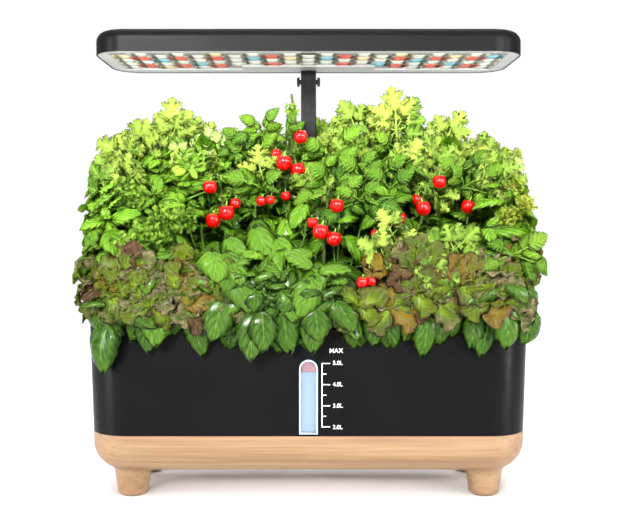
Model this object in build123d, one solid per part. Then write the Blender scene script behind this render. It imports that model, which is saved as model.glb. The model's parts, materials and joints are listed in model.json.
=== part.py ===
from build123d import *
from math import cos, pi, sin
import os

# Countertop hydroponic garden. Millimetres, +Z up, front towards -Y.
# The origin is on the surface it stands on, under the middle of the whole part.

# ---- driving dimensions: tank and wooden base ----
TANK_W = 422.0          # outside, at the rim
TANK_D = 156.0
TANK_DRAFT = 5.0        # how much narrower the tank is where it meets the base
CORNER_R = 38.0         # upright corners of the tank and the base
FOOT_H = 26.0           # underside of the base above the table
BASE_H = 38.0
TANK_H = 101.0
TANK_WALL = 3.0
RIM_ROUND = 1.4
BASE_WALL = 6.0
BASE_ROUND = 28.0       # rounded lower edge of the base
BOSS_DROP = 3.6         # locating boss under the tank, inside the base
BOSS_GAP = 0.5          # clearance round that boss
FOOT_END = 37.5         # middle of a foot, in from the base's end
FOOT_SIDE = 36.0        # and in from its front or rear
FOOT_TOP_R = 19.0
FOOT_TIP_R = 14.5
FOOT_BLEND = 8.0        # fillet where a foot runs into the base
FOOT_ROOT = 8.0         # how far a foot reaches up into the base's wall
FOOT_TIP_ROUND = 2.0
PAD_R = 11.0
PAD_H = 2.4
PAD_PROUD = 0.8

# ---- grow deck, pods and refill port ----
RIM_STEP = 5.5          # how far the deck's edge stays inside the rim
DECK_T = 6.0
DECK_PROUD = 3.0        # deck top above the rim
DECK_GAP = 0.5
LEDGE_W = 4.0
LEDGE_H = 5.0
SKIRT_T = 2.5
SKIRT_H = 6.0
DECK_ROUND = 1.5
POD_COLUMNS = 6
POD_PITCH = 64.0
FRONT_PODS = 40.0       # middle of the front pods, in from the tank's front
REAR_PODS = 48.0        # middle of the rear pods, in from its back
POD_R = 15.2            # hole in the deck
BASKET_GAP = 0.6
BASKET_WALL = 1.4
BASKET_H = 44.0
BASKET_TAPER = 3.4
FLANGE_W = 2.2          # flange beyond the hole
FLANGE_T = 1.5
SLOT_W = 5.0
SLOT_END = 6.0          # wall left above and below a slot
DRAIN_R = 4.0
SPONGE_GAP = 0.35
SPONGE_H = 34.0
SPONGE_SET = 0.6        # sponge below the flange's top
PORT_W = 20.0
PORT_D = 14.0
PORT_IN = 16.0          # port's rear edge, in from the tank's back
PORT_ROUND = 3.0
LID_W = 26.0
LID_T = 2.2
LID_LIFT = 0.2          # lid above the deck, on its hinge
LID_REACH = 22.9        # lid's front edge, from its hinge
LID_ROUND = 1.5
LIP_W = 10.0            # finger lip
LIP_OUT = 1.5
LIP_SET = 0.4           # lip above the lid's underside
HINGE_IN = 9.6          # hinge, in from the tank's back
HINGE_R = 2.0
HINGE_RISE = 0.4        # knuckle above the deck
HINGE_PIN_R = 1.0
LID_BACK_GAP = 0.6      # lid's plate from its knuckle
RUN_GAP = 0.05          # running clearance on a pin
EAR_T = 2.8
EAR_GAP = 0.3

# ---- plants ----
FOLIAGE_W = 436.0
FOLIAGE_D = 212.0
FRONT_TOPS = (92.0, 88.0, 92.0, 96.0, 88.0, 94.0)           # above the deck, at each plant's front
REAR_TOPS = (182.0, 196.0, 200.0, 196.0, 198.0, 182.0)
FRONT_RISE = 30.0       # how much higher a front plant is at its back
FRONT_CLEAR = 16.0      # crown above the deck
REAR_CLEAR = 34.0
DRAPE_H = 23.0          # leaves hanging in front of the tank, below its rim
DRAPE_GAP = 4.0         # from those leaves to the tank
FRONT_SLOPE = (36.0, 60.0)      # crown's sloping front shoulder: depth, height
REAR_SLOPE = (36.0, 70.0)       # crown's sloping rear shoulder
REAR_HEM = (12.0, 30.0)         # crown's sloping rear hem
NECK_SLOPE = (22.0, 24.0)       # slope at the top of a rear crown's front
REAR_LEAN = 18.0        # how far a rear crown leans out over the front row
LEAN_CLEAR = 4.0        # from the front row up to where the rear crowns lean out
CORNER_ROUND = 34.0     # foliage's corners, seen from above
CROWN_GAP = 1.2
CROWN_ROUND = 16.0
ROW_SHIFT = 1.0         # where the crowns part, behind the middle of the rows
STEM_R = 3.6
STEM_ROOT = 5.0         # how far a stem runs up into its crown
MAST_SPACE = 14.5       # kept free of leaves each side of the mast
MAST_CLEAR = 8.5        # and in front of it

# ---- level window ----
WINDOW_W = 17.4
WINDOW_H = 70.0
WINDOW_FOOT = 2.0       # above the base
FRAME_T = 1.4
FRAME_DEEP = 0.8
FRAME_PROUD = 0.4
PANE_GAP = 0.05
PANE_LIP = 2.2
PANE_T = 1.5
CHAMBER_D = 13.5
CHAMBER_WALL = 1.5
CHAMBER_H = 84.0
INLET_W = 8.0           # windows from the channel to the reservoir
INLET_H = 4.0
INLET_RISE = (5.0, 14.0)        # their middles above the floor
WATER_H = 57.0          # water above the floor
WATER_GAP = 0.2
FLOAT_H = 13.0
FLOAT_GAP = 0.9
FLOAT_ROUND = 2.0
SCALE_X = 12.6
SCALE_T = 0.25
LINE_W = 0.8
MARK_PITCH = 19.85      # from one litre to the next
MARK_RISE = 68.6        # five litres, above the base
MARK_W = 7.6
MINOR_W = 4.0
LITRE_MARKS = 4

# ---- mast ----
MAST_W = 16.0
MAST_D = 11.0
MAST_IN = 32.0          # middle of the mast, in from the tank's back
MAST_WALL = 1.6
MAST_SINK = 3.0         # mast below the deck plate
MAST_ROUND = 1.5
SEAT_WALL = 3.0         # deck's seat round and under the mast's foot
SEAT_FLOOR = 2.0
POLE_W = 8.0
POLE_GAP = 0.3
POLE_GRIP = 52.0        # pole left inside the mast at full height
POLE_SEAT = 2.0         # pole's top below the lamp
GUIDE_H = 16.0          # wider guide at the pole's foot
LAMP_RISE = 160.0
HEAD_H = 14.0
HEAD_LID = 2.0
HEAD_SLOT_W = 1.0       # dark slots on the head's front
HEAD_SLOT_H = 7.0
HEAD_SLOT_RISE = 1.5
HEAD_SLOT_DEEP = 0.7
HEAD_SLOT_GAP = 1.6     # from the rib to a slot
RIB_W = 6.0
RIB_T = 0.8
SOCKET_WALL = 4.0
SOCKET_H = 15.0
SOCKET_ROUND = 3.0
SOCKET_TOP_ROUND = 1.2
SOCKET_GAP = 0.1
BUTTON_W = 24.4         # across both release buttons
BUTTON_H = 8.8
BUTTON_D = 7.6
BUTTON_RISE = 3.0       # underside of a button above the foot of the head
BUTTON_STEM = 4.4
BUTTON_LIP = 0.9
BUTTON_LIP_W = 1.8      # lip beyond the button's stem, along Y
BUTTON_LIP_H = 3.0      # and along Z
BUTTON_ROUND = 1.6
BUTTON_TRAVEL = 1.2
BUTTON_GAP = 0.15
BUTTON_STAND = 0.1      # cap from the head when pressed home

# ---- lamp ----
LAMP_W = 405.0
LAMP_D = 126.0
LAMP_BACK = 9.0         # lamp's rear edge, behind the middle of the mast
LAMP_H = 22.3
LAMP_LOW = 254.5        # lamp above the deck at its lowest
LAMP_R = 30.0
LAMP_ROUND = 10.0
LAMP_WALL = 2.5
LAMP_LIP = 1.3
BEZEL_T = 2.6
BEZEL_DEEP = 0.4
BEZEL_GAP = 0.05
FIELD_END = 12.5        # light field, in from the lamp's end
FIELD_FRONT = 14.0
FIELD_BACK = 18.0
PAD_X = 68.0            # half the white pad round the neck
PAD_D = 20.0
CELL_W = 24.2           # hexagon, corner to corner
CELL_WALL = 1.2
CELL_START = 13.0       # first row of cells, in from the field's front
CELL_DEEP = 6.0
CELL_SET = 1.0          # reflector above the bezel's face
FIELD_EDGE = 2.0
BOARD_T = 1.6
LENS_R = 6.5
LENS_H = 3.6
LENS_RIM = 1.2
LED_ROWS = ("WWYWWWWYWW", "YWWWRWRWWYB", "RRRBYBYRRR", "WBWWWWWWBWW",
            "WWWWWWWWWW", "WWBWRWRBWBW", "RRR....RRR", "WYW.....WWW")
LED_KINDS = (("lens_white", "W"), ("lens_warm", "Y"), ("lens_red", "R"), ("lens_blue", "B"))
NECK_H = 4.0            # neck below the lamp
NECK_GAP = 0.3
NECK_FLANGE_W = 44.0
NECK_FLANGE_D = 12.4
NECK_FLANGE_T = 3.0
BRACKET_D = 4.0
BRACKET_SET = 0.5       # bracket behind the flange's front
SCREW_R = 1.5
SCREW_L = 7.0           # thread above the bezel
SCREW_HEAD_R = 2.8
SCREW_HEAD_T = 1.1
SCREW_SET = 0.1         # head below the bezel's face
SCREW_GAP = 0.1
SCREW_TIP = 1.0         # drilled beyond the thread
SCREW_POST_R = 3.4
SCREW_SLOT_W = 0.7
SCREW_SLOT_L = 3.2
SCREW_END = 20.5        # screws, in from the lamp's end
SCREW_BACK = 9.0        # and in from its rear
SCREW_FRONT = 7.5
SCREW_MIDDLE = 100.0    # the rear pair between the ends
PANEL_W = 62.0
PANEL_D = 18.0
PANEL_IN = 25.0         # panel's middle, in from the lamp's front
PANEL_T = 1.6
PANEL_GAP = 0.1
KEY_R = 4.4
KEY_STEM_R = 2.9
KEY_STEM_GAP = 0.1
KEY_PITCH = 18.0
KEY_PROUD = 1.0
KEY_ROUND = 0.5
KEY_GAP = 0.1
KEY_REST = 0.05         # left under a key that is pressed home
KEY_TRAVEL = 0.8
KEY_NAMES = ("light_key", "mode_key", "pump_key")
CONTROL_W = 70.0
CONTROL_D = 26.0
CONTROL_DROP = 3.0      # control board below the lamp's top wall
CONTROL_POST_R = 2.2
CONTROL_POST_IN = 4.0
SWITCH_W = 6.0
SWITCH_H = 1.0

# ---- pump, inlet and driver in the base ----
PUMP_END = 33.0         # pump's middle, in from the tank's end
PUMP_Y = 0.0
PUMP_W = 34.0
PUMP_D = 40.0
PUMP_H = 28.0
PUMP_ROUND = 3.0
PUMP_FINS = 4
FIN_PITCH = 8.7
FIN_W = 3.0
FIN_DEEP = 2.0
FIN_END = 7.0           # first fin, in from the pump's side
FIN_RISE = 4.0
CUP_R = 5.0
CUP_H = 5.0
CUP_REACH = 12.0
ROTOR_R = 9.0
ROTOR_W = 7.0
ROTOR_GAP = 1.0
ROTOR_HUB_R = 3.0
ROTOR_BLADES = 6
ROTOR_BLADE_T = 1.4
SPINDLE_R = 1.2
SPINDLE_SET = 0.5       # spindle's tip behind the cover
COVER_T = 2.6
COVER_SIDE = 3.0        # cover in from the pump's sides
COVER_END = 1.0         # and from its top and foot
INTAKE_SLOTS = 5
INTAKE_W = 1.8
INTAKE_L = 15.0
RISER_R = 5.0
RISER_BORE = 3.4
RISER_DROP = 8.0        # riser's top below the deck plate
RISER_SEAT = 4.0
RISER_WALL = 2.0        # of the outlet round the riser
JACK_END = 88.5         # inlet, in from the base's end
JACK_DROP = 14.0        # below the base's top
JACK_BARREL_R = 5.5
JACK_FACE_R = 7.5
JACK_FACE_T = 1.8
JACK_BORE_R = 2.85
JACK_BORE_L = 6.2
JACK_CORE_R = 2.5       # narrower core behind the bore
JACK_CORE_L = 3.3
JACK_L = 14.0
JACK_PIN_R = 1.0
JACK_PIN_SET = 0.3      # the contact pin stays this far behind the bore
JACK_NUT_R = 8.5
JACK_NUT_T = 3.0
JACK_POCKET = 2.6       # how deep the inlet's face is set into the base
JACK_GRIP = 5.0         # wood between the inlet's face and its nut
JACK_FACE_GAP = 0.3     # clearance round the face
JACK_NUT_GAP = 0.4      # and round the nut
JACK_BOSS_WALL = 1.5
DRIVER_W = 80.0
DRIVER_D = 44.0
DRIVER_IN = 42.0        # power board's middle, in from the base's rear
POST_R = 3.0
POST_H = 6.0
POST_IN = 5.0           # posts, in from the board's edges
COIL_SHIFT = (22.0, -4.0)       # power board's parts, from its middle
COIL_W = 16.0
COIL_H = 8.0
CAP_SHIFT = (-22.0, -8.0)
CAP_R = 5.0
CAP_H = 11.0
HEADER_SHIFT = -14.0
HEADER_W = 12.0
HEADER_D = 6.0
HEADER_H = 7.0

# ---- heights and faces that follow ----
TANK_FOOT_W = TANK_W - TANK_DRAFT
FRONT = -TANK_D / 2
BACK = TANK_D / 2
BASE_TOP = FOOT_H + BASE_H
RIM = BASE_TOP + TANK_H
FLOOR = BASE_TOP + TANK_WALL
DECK_TOP = RIM + DECK_PROUD
DECK_Z = DECK_TOP - DECK_T
LAMP_Z = DECK_TOP + LAMP_LOW
HEAD_TOP = LAMP_Z - NECK_GAP - NECK_H
MAST_TOP = HEAD_TOP - HEAD_H
MAST_FOOT = DECK_Z - MAST_SINK
LAMP_TOP = LAMP_Z + LAMP_H
BEZEL_Z = LAMP_Z + BEZEL_DEEP
BEZEL_TOP = BEZEL_Z + BEZEL_T
REFLECTOR_Z = BEZEL_Z + CELL_SET
BOARD_Z = REFLECTOR_Z + CELL_DEEP
CEILING = LAMP_TOP - LAMP_WALL
WATER_TOP = FLOOR + WATER_H
MARK_TOP = BASE_TOP + MARK_RISE
RISER_TOP = DECK_Z - RISER_DROP
FOOT_X = TANK_FOOT_W / 2 - FOOT_END
FOOT_Y = BACK - FOOT_SIDE
COLUMNS = [(i - (POD_COLUMNS - 1) / 2) * POD_PITCH for i in range(POD_COLUMNS)]
POD_ROWS = (FRONT + FRONT_PODS, BACK - REAR_PODS)
ROW_SPLIT = sum(POD_ROWS) / 2 + ROW_SHIFT
FLANGE_R = POD_R + FLANGE_W
PORT_X = -POD_PITCH     # between two rear pods
PORT_Y = (BACK - PORT_IN - PORT_D, BACK - PORT_IN)
HINGE_Y = BACK - HINGE_IN
LID_FRONT = HINGE_Y - LID_REACH
MAST_Y = BACK - MAST_IN
LAMP_Y = MAST_Y + LAMP_BACK - LAMP_D / 2
LED_FIELD_X = LAMP_W / 2 - FIELD_END
LED_FIELD_Y = (LAMP_Y - LAMP_D / 2 + FIELD_FRONT, LAMP_Y + LAMP_D / 2 - FIELD_BACK)
PAD_Y = LED_FIELD_Y[1] - PAD_D
CELL_Y = LED_FIELD_Y[0] + CELL_START
PANEL_Y = LAMP_Y - LAMP_D / 2 + PANEL_IN
PUMP_X = TANK_W / 2 - PUMP_END
JACK_X = -TANK_FOOT_W / 2 + JACK_END
JACK_Z = BASE_TOP - JACK_DROP
JACK_SEAT = BACK - JACK_POCKET
NUT_SEAT = JACK_SEAT - JACK_GRIP
DRIVER_Y = BACK - DRIVER_IN
FRONT_BOTTOM = DECK_TOP + FRONT_CLEAR
REAR_BOTTOM = DECK_TOP + REAR_CLEAR
DRAPE_BOTTOM = RIM - DRAPE_H
DRAPE_BACK = FRONT - DRAPE_GAP
SIDE_ROUND = (FOLIAGE_D / 2 + DRAPE_BACK) / 3    # crowns seen from the side; a third of the drape


def span(middle, size):
    """Low and high end of a length about its middle."""
    return (middle - size / 2, middle + size / 2)


def block(x, y, z):
    """A box between three pairs of low and high ends."""
    middle = Pos((x[0] + x[1]) / 2, (y[0] + y[1]) / 2, (z[0] + z[1]) / 2)
    return middle * Box(x[1] - x[0], y[1] - y[0], z[1] - z[0])


def slab(width, depth, radius, z0, z1, y=0.0):
    """An upright plate with rounded corners."""
    return Pos(0, y, z0) * extrude(RectangleRounded(width, depth, radius), z1 - z0)


def disc(radius, z0, z1, x=0.0, y=0.0):
    """An upright cylinder between two heights."""
    return Pos(x, y, (z0 + z1) / 2) * Cylinder(radius, z1 - z0)


def bar(radius, x0, x1, y, z):
    """A cylinder along X."""
    return Pos((x0 + x1) / 2, y, z) * Rot(0, 90, 0) * Cylinder(radius, x1 - x0)


def plug(radius, y0, y1, x, z):
    """A cylinder along Y."""
    return Pos(x, (y0 + y1) / 2, z) * Rot(90, 0, 0) * Cylinder(radius, y1 - y0)


def turned(points):
    """A solid of revolution about Z from (radius, height) points."""
    outline = make_face(Plane.XZ * Polyline(*points, close=True))
    return revolve(outline, Axis.Z)


def arch(width, z0, z1, y0, y1):
    """A plate with an upright front, a flat foot and a round top."""
    radius = width / 2
    return block(span(0, width), (y0, y1), (z0, z1 - radius)) + plug(radius, y0, y1, 0, z1 - radius)


def upright_edges(shape):
    return shape.edges().filter_by(Axis.Z)


def rounded_post(x, y, z, radius):
    """A box with its four upright edges rounded."""
    post = block(x, y, z)
    return fillet(upright_edges(post), radius)


# ---- wooden base ----
def foot(x, y):
    """One turned foot, tapered to a rounded tip."""
    top = FOOT_H + FOOT_ROOT
    tip = PAD_PROUD + FOOT_TIP_ROUND
    return Pos(x, y, 0) * turned([(0, PAD_PROUD), (FOOT_TIP_R - FOOT_TIP_ROUND, PAD_PROUD), (FOOT_TIP_R, tip),
                                  (FOOT_TOP_R, top), (0, top)])


def feet_places():
    return [(x, y) for x in (-FOOT_X, FOOT_X) for y in (-FOOT_Y, FOOT_Y)]


def near_a_foot(edge):
    """True for an edge where a foot runs into the base."""
    middle = edge.center()
    beside = min(((middle.X - x) ** 2 + (middle.Y - y) ** 2) ** 0.5 for x, y in feet_places())
    return beside < FOOT_TOP_R + 2.0 and FOOT_H - 1.0 < middle.Z < FOOT_H + FOOT_ROOT


def base_tray():
    """The wooden base: a bowl with rounded lower edges on four turned feet."""
    shell = slab(TANK_FOOT_W, TANK_D, CORNER_R, FOOT_H, BASE_TOP)
    shell = fillet(shell.faces().sort_by(Axis.Z)[0].edges(), BASE_ROUND)
    for x, y in feet_places():
        shell += foot(x, y)
    joins = [edge for edge in shell.edges() if near_a_foot(edge)]
    shell = fillet(joins, FOOT_BLEND)
    inner_w = TANK_FOOT_W - 2 * BASE_WALL
    inner_d = TANK_D - 2 * BASE_WALL
    pocket = slab(inner_w, inner_d, CORNER_R - BASE_WALL, FOOT_H + BASE_WALL, BASE_TOP + 1)
    lowest = pocket.faces().sort_by(Axis.Z)[0].edges()
    shell -= fillet(lowest, BASE_ROUND - BASE_WALL)
    for x, y in feet_places():
        shell -= disc(PAD_R, 0, PAD_H, x, y)
    for x, y in post_places():
        shell += disc(POST_R, FOOT_H + BASE_WALL - 0.5, driver_z(), x, y)
    shell += plug(JACK_NUT_R + JACK_BOSS_WALL, NUT_SEAT, BACK - BASE_WALL + 1, JACK_X, JACK_Z)
    shell -= plug(JACK_NUT_R + JACK_NUT_GAP, NUT_SEAT - 2 * JACK_NUT_T, NUT_SEAT, JACK_X, JACK_Z)
    shell -= plug(JACK_FACE_R + JACK_FACE_GAP, JACK_SEAT, BACK + JACK_FACE_R, JACK_X, JACK_Z)
    return shell - plug(JACK_BARREL_R + RUN_GAP, NUT_SEAT - 1, JACK_SEAT + 1, JACK_X, JACK_Z)


def foot_pads():
    """Four rubber pads let into the feet."""
    return Compound([disc(PAD_R, 0, PAD_H, x, y) for x, y in feet_places()])


def driver_z():
    return FOOT_H + BASE_WALL + POST_H


def post_places():
    xs = span(JACK_X, DRIVER_W - 2 * POST_IN)
    ys = span(DRIVER_Y, DRIVER_D - 2 * POST_IN)
    return [(x, y) for x in xs for y in ys]


def driver_board():
    """Power board on its four posts, with a coil, a capacitor and a connector."""
    z = driver_z()
    board = block(span(JACK_X, DRIVER_W), span(DRIVER_Y, DRIVER_D), (z, z + BOARD_T))
    top = z + BOARD_T
    board += block(span(JACK_X + COIL_SHIFT[0], COIL_W), span(DRIVER_Y + COIL_SHIFT[1], COIL_W),
                   (top, top + COIL_H))
    board += disc(CAP_R, top, top + CAP_H, JACK_X + CAP_SHIFT[0], DRIVER_Y + CAP_SHIFT[1])
    header_y = DRIVER_Y + HEADER_SHIFT
    return board + block(span(JACK_X, HEADER_W), span(header_y, HEADER_D), (top, top + HEADER_H))


def dc_jack():
    """Low-voltage inlet through the base's rear wall."""
    face = JACK_SEAT + JACK_FACE_T
    jack = plug(JACK_BARREL_R, JACK_SEAT - JACK_L, JACK_SEAT, JACK_X, JACK_Z)
    jack += plug(JACK_FACE_R, JACK_SEAT, face, JACK_X, JACK_Z)
    step = face - JACK_BORE_L
    jack -= plug(JACK_BORE_R, step, face, JACK_X, JACK_Z)
    jack -= plug(JACK_CORE_R, step - JACK_CORE_L, step, JACK_X, JACK_Z)
    return jack + plug(JACK_PIN_R, step - JACK_CORE_L, step - JACK_PIN_SET, JACK_X, JACK_Z)


def jack_nut():
    """Hexagon nut that clamps the inlet from inside."""
    nut = extrude(RegularPolygon(JACK_NUT_R, 6) - Circle(JACK_BARREL_R), JACK_NUT_T)
    return Pos(JACK_X, NUT_SEAT, JACK_Z) * Rot(90, 0, 0) * nut


# ---- tank ----
def tank_outside(z0, z1, inset):
    """Tank outline between two heights, drawn in by an inset and following its draft."""
    def width(z):
        return TANK_FOOT_W + (TANK_W - TANK_FOOT_W) * (z - BASE_TOP) / TANK_H - 2 * inset

    outlines = [Pos(0, 0, z) * RectangleRounded(width(z), TANK_D - 2 * inset, CORNER_R - inset)
                for z in (z0, z1)]
    return loft([outline.face() for outline in outlines], ruled=True)


def tank():
    """Black reservoir with a stepped rim, a deck ledge and the opening for the window."""
    body = tank_outside(BASE_TOP, RIM, 0)
    body = fillet(body.faces().sort_by(Axis.Z)[-1].edges(), RIM_ROUND)
    boss_inset = 2 * (BASE_WALL + BOSS_GAP)
    body += slab(TANK_FOOT_W - boss_inset, TANK_D - boss_inset, CORNER_R - boss_inset / 2,
                 BASE_TOP - BOSS_DROP, BASE_TOP)
    body -= tank_outside(FLOOR, DECK_Z - LEDGE_H, TANK_WALL)
    body -= tank_outside(DECK_Z - LEDGE_H - 0.1, DECK_Z + 0.1, RIM_STEP - DECK_GAP + LEDGE_W)
    body -= deck_outline(DECK_Z, RIM + 1, DECK_GAP)
    body -= arch(WINDOW_W, BASE_TOP + WINDOW_FOOT, BASE_TOP + WINDOW_FOOT + WINDOW_H,
                 FRONT - 1, FRONT + FRAME_DEEP)
    body -= pane_shape(0, FRONT - 1, FRONT + TANK_WALL + 1)
    return body


def pane_shape(gap, y0, y1):
    """The clear opening inside the window's frame, less a gap all round."""
    inset = FRAME_T + gap
    foot_z = BASE_TOP + WINDOW_FOOT
    return arch(WINDOW_W - 2 * inset, foot_z + inset, foot_z + WINDOW_H - inset, y0, y1)


def window_frame():
    """Pale frame let into the front of the tank round the window."""
    foot_z = BASE_TOP + WINDOW_FOOT
    ring = arch(WINDOW_W, foot_z, foot_z + WINDOW_H, FRONT - FRAME_PROUD, FRONT + FRAME_DEEP)
    return ring - pane_shape(0, FRONT - 1, FRONT + 1)


def level_window():
    """Clear pane with a lip glued behind the tank's wall."""
    pane = pane_shape(PANE_GAP, FRONT, FRONT + TANK_WALL)
    back = FRONT + TANK_WALL
    lip_w = WINDOW_W + 2 * PANE_LIP
    top = BASE_TOP + WINDOW_FOOT + WINDOW_H + PANE_LIP
    return pane + block(span(0, lip_w), (back, back + PANE_T), (FLOOR, top))


def chamber_front():
    return FRONT + TANK_WALL + PANE_T


def level_chamber():
    """Still-water channel behind the window, open at the foot to the reservoir."""
    front = chamber_front()
    z = (FLOOR, FLOOR + CHAMBER_H)
    outer = block(span(0, WINDOW_W + 2 * CHAMBER_WALL), (front, front + CHAMBER_D), z)
    outer -= block(span(0, WINDOW_W), (front - 1, front + CHAMBER_D - CHAMBER_WALL), (z[0] - 1, z[1] + 1))
    for rise in INLET_RISE:
        outer -= block(span(0, INLET_W), (front, front + CHAMBER_D + 1), span(FLOOR + rise, INLET_H))
    return outer


def sight_water():
    """Water that shows in the window."""
    front = chamber_front()
    y = (front + WATER_GAP, front + CHAMBER_D - CHAMBER_WALL - WATER_GAP)
    return block(span(0, WINDOW_W - 2 * WATER_GAP), y, (FLOOR, WATER_TOP - WATER_GAP))


def level_float():
    """Float that rides on the water in the channel."""
    front = chamber_front()
    y = (front + FLOAT_GAP, front + CHAMBER_D - CHAMBER_WALL - FLOAT_GAP)
    return rounded_post(span(0, WINDOW_W - 2 * FLOAT_GAP), y, (WATER_TOP, WATER_TOP + FLOAT_H), FLOAT_ROUND)


def level_scale():
    """Printed litre scale beside the window: one line with long and short marks."""
    y = (FRONT - SCALE_T, FRONT)
    foot_z = MARK_TOP - MARK_PITCH * (LITRE_MARKS - 1)
    scale = block(span(SCALE_X, LINE_W), y, (foot_z - LINE_W / 2, MARK_TOP + LINE_W / 2))
    for i in range(LITRE_MARKS):
        z = MARK_TOP - MARK_PITCH * i
        scale += block((SCALE_X, SCALE_X + MARK_W), y, span(z, LINE_W))
    for i in range(LITRE_MARKS - 1):
        z = MARK_TOP - MARK_PITCH * (i + 0.5)
        scale += block((SCALE_X, SCALE_X + MINOR_W), y, span(z, LINE_W))
    return scale


# ---- pump ----
def pump_box():
    z0 = FLOOR + CUP_H
    return span(PUMP_X, PUMP_W), span(PUMP_Y, PUMP_D), (z0, z0 + PUMP_H)


def rotor_z():
    return FLOOR + CUP_H + PUMP_H / 2


def pump_body():
    """Pump case with the rotor chamber, its spindle and the outlet on top."""
    x, y, z = pump_box()
    case = rounded_post(x, y, z, PUMP_ROUND)
    depth = ROTOR_W + 2 * ROTOR_GAP
    face = x[0]
    case -= bar(ROTOR_R + ROTOR_GAP, face - 1, face + depth, PUMP_Y, rotor_z())
    case += bar(SPINDLE_R, face + SPINDLE_SET, face + depth, PUMP_Y, rotor_z())
    outlet_x = face + depth / 2
    case += disc(RISER_R + RISER_WALL, z[1] - 0.1, z[1] + RISER_SEAT, outlet_x, PUMP_Y)
    case -= disc(RISER_R, z[1], z[1] + RISER_SEAT + 1, outlet_x, PUMP_Y)
    case -= disc(RISER_BORE, rotor_z(), z[1] + 1, outlet_x, PUMP_Y)
    for i in range(PUMP_FINS):
        fin = PUMP_Y + PUMP_D / 2 - FIN_END - i * FIN_PITCH
        case -= block((x[1] - FIN_DEEP, x[1] + 1), span(fin, FIN_W), (z[0] + FIN_RISE, z[1] - FIN_RISE))
    return case


def pump_cover():
    """Slotted intake cover over the rotor."""
    x, y, z = pump_box()
    cover = block((x[0] - COVER_T, x[0]), (y[0] + COVER_SIDE, y[1] - COVER_SIDE),
                  (z[0] + COVER_END, z[1] - COVER_END))
    for i in range(INTAKE_SLOTS):
        middle = rotor_z() + (i - (INTAKE_SLOTS - 1) / 2) * 2 * INTAKE_W
        cover -= block((x[0] - COVER_T - 1, x[0] + 1), span(PUMP_Y, INTAKE_L), span(middle, INTAKE_W))
    return cover


def pump_rotor():
    """Six-bladed rotor on the fixed spindle."""
    x0 = pump_box()[0][0] + ROTOR_GAP
    x1 = x0 + ROTOR_W
    z = rotor_z()
    rotor = bar(ROTOR_HUB_R, x0, x1, PUMP_Y, z)
    for i in range(ROTOR_BLADES):
        blade = block((x0, x1), (ROTOR_HUB_R - 0.6, ROTOR_R), span(0, ROTOR_BLADE_T))
        rotor += Pos(0, PUMP_Y, z) * Rot(360 * i / ROTOR_BLADES, 0, 0) * blade
    return rotor - bar(SPINDLE_R + RUN_GAP, x0 - 1, x1 + 1, PUMP_Y, z)


def riser_tube():
    """Outlet tube that feeds water back under the deck."""
    x, _, z = pump_box()
    outlet_x = x[0] + (ROTOR_W + 2 * ROTOR_GAP) / 2
    tube = disc(RISER_R, z[1], RISER_TOP, outlet_x, PUMP_Y)
    return tube - disc(RISER_BORE, z[1] - 1, RISER_TOP + 1, outlet_x, PUMP_Y)


def suction_cups():
    """Four rubber cups that hold the pump on the floor of the tank."""
    cups = []
    for x in span(PUMP_X, 2 * CUP_REACH):
        for y in span(PUMP_Y, 2 * CUP_REACH):
            cup = turned([(0, 0), (CUP_R + 1, 0), (CUP_R - 1.5, CUP_H * 0.6), (CUP_R - 2, CUP_H), (0, CUP_H)])
            cups.append(Pos(x, y, FLOOR) * cup)
    return Compound(cups)


# ---- deck ----
def deck_outline(z0, z1, grow=0.0):
    """Plan of the deck, which follows the rim; grow opens it for clearance."""
    inset = 2 * (RIM_STEP - grow)
    return slab(TANK_W - inset, TANK_D - inset, CORNER_R - inset / 2, z0, z1)


def deck():
    """Grow deck with pod holes, the refill port, its hinge ears and the mast's seat."""
    plate = deck_outline(DECK_Z, DECK_TOP)
    plate = fillet(plate.faces().sort_by(Axis.Z)[-1].edges(), DECK_ROUND)
    outer = RIM_STEP + LEDGE_W + DECK_GAP
    skirt_w = TANK_W - TANK_DRAFT / 2
    skirt = slab(skirt_w - 2 * outer, TANK_D - 2 * outer, CORNER_R - outer, DECK_Z - SKIRT_H, DECK_Z)
    inner = outer + SKIRT_T
    skirt -= slab(skirt_w - 2 * inner, TANK_D - 2 * inner, CORNER_R - inner, DECK_Z - SKIRT_H - 1, DECK_Z)
    plate += skirt
    plate += block(span(0, MAST_W + 2 * SEAT_WALL), span(MAST_Y, MAST_D + 2 * SEAT_WALL),
                   (MAST_FOOT - SEAT_FLOOR, DECK_Z))
    for y in POD_ROWS:
        for x in COLUMNS:
            plate -= disc(POD_R, DECK_Z - 1, DECK_TOP + 1, x, y)
    plate -= mast_outline(MAST_FOOT, DECK_TOP + 1, SOCKET_GAP)
    plate -= rounded_post(span(PORT_X, PORT_W), PORT_Y, (DECK_Z - 1, DECK_TOP + 1), PORT_ROUND)
    for side in (-1, 1):
        middle = PORT_X + side * (LID_W - EAR_T) / 2
        x = span(middle, EAR_T)
        ear = block(x, span(HINGE_Y, 2 * HINGE_R), (DECK_TOP - 1, hinge_z()))
        plate += ear + bar(HINGE_R, x[0], x[1], HINGE_Y, hinge_z())
    return plate - bar(HINGE_PIN_R, PORT_X - LID_W, PORT_X + LID_W, HINGE_Y, hinge_z())


def hinge_z():
    return DECK_TOP + HINGE_R + HINGE_RISE


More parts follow.
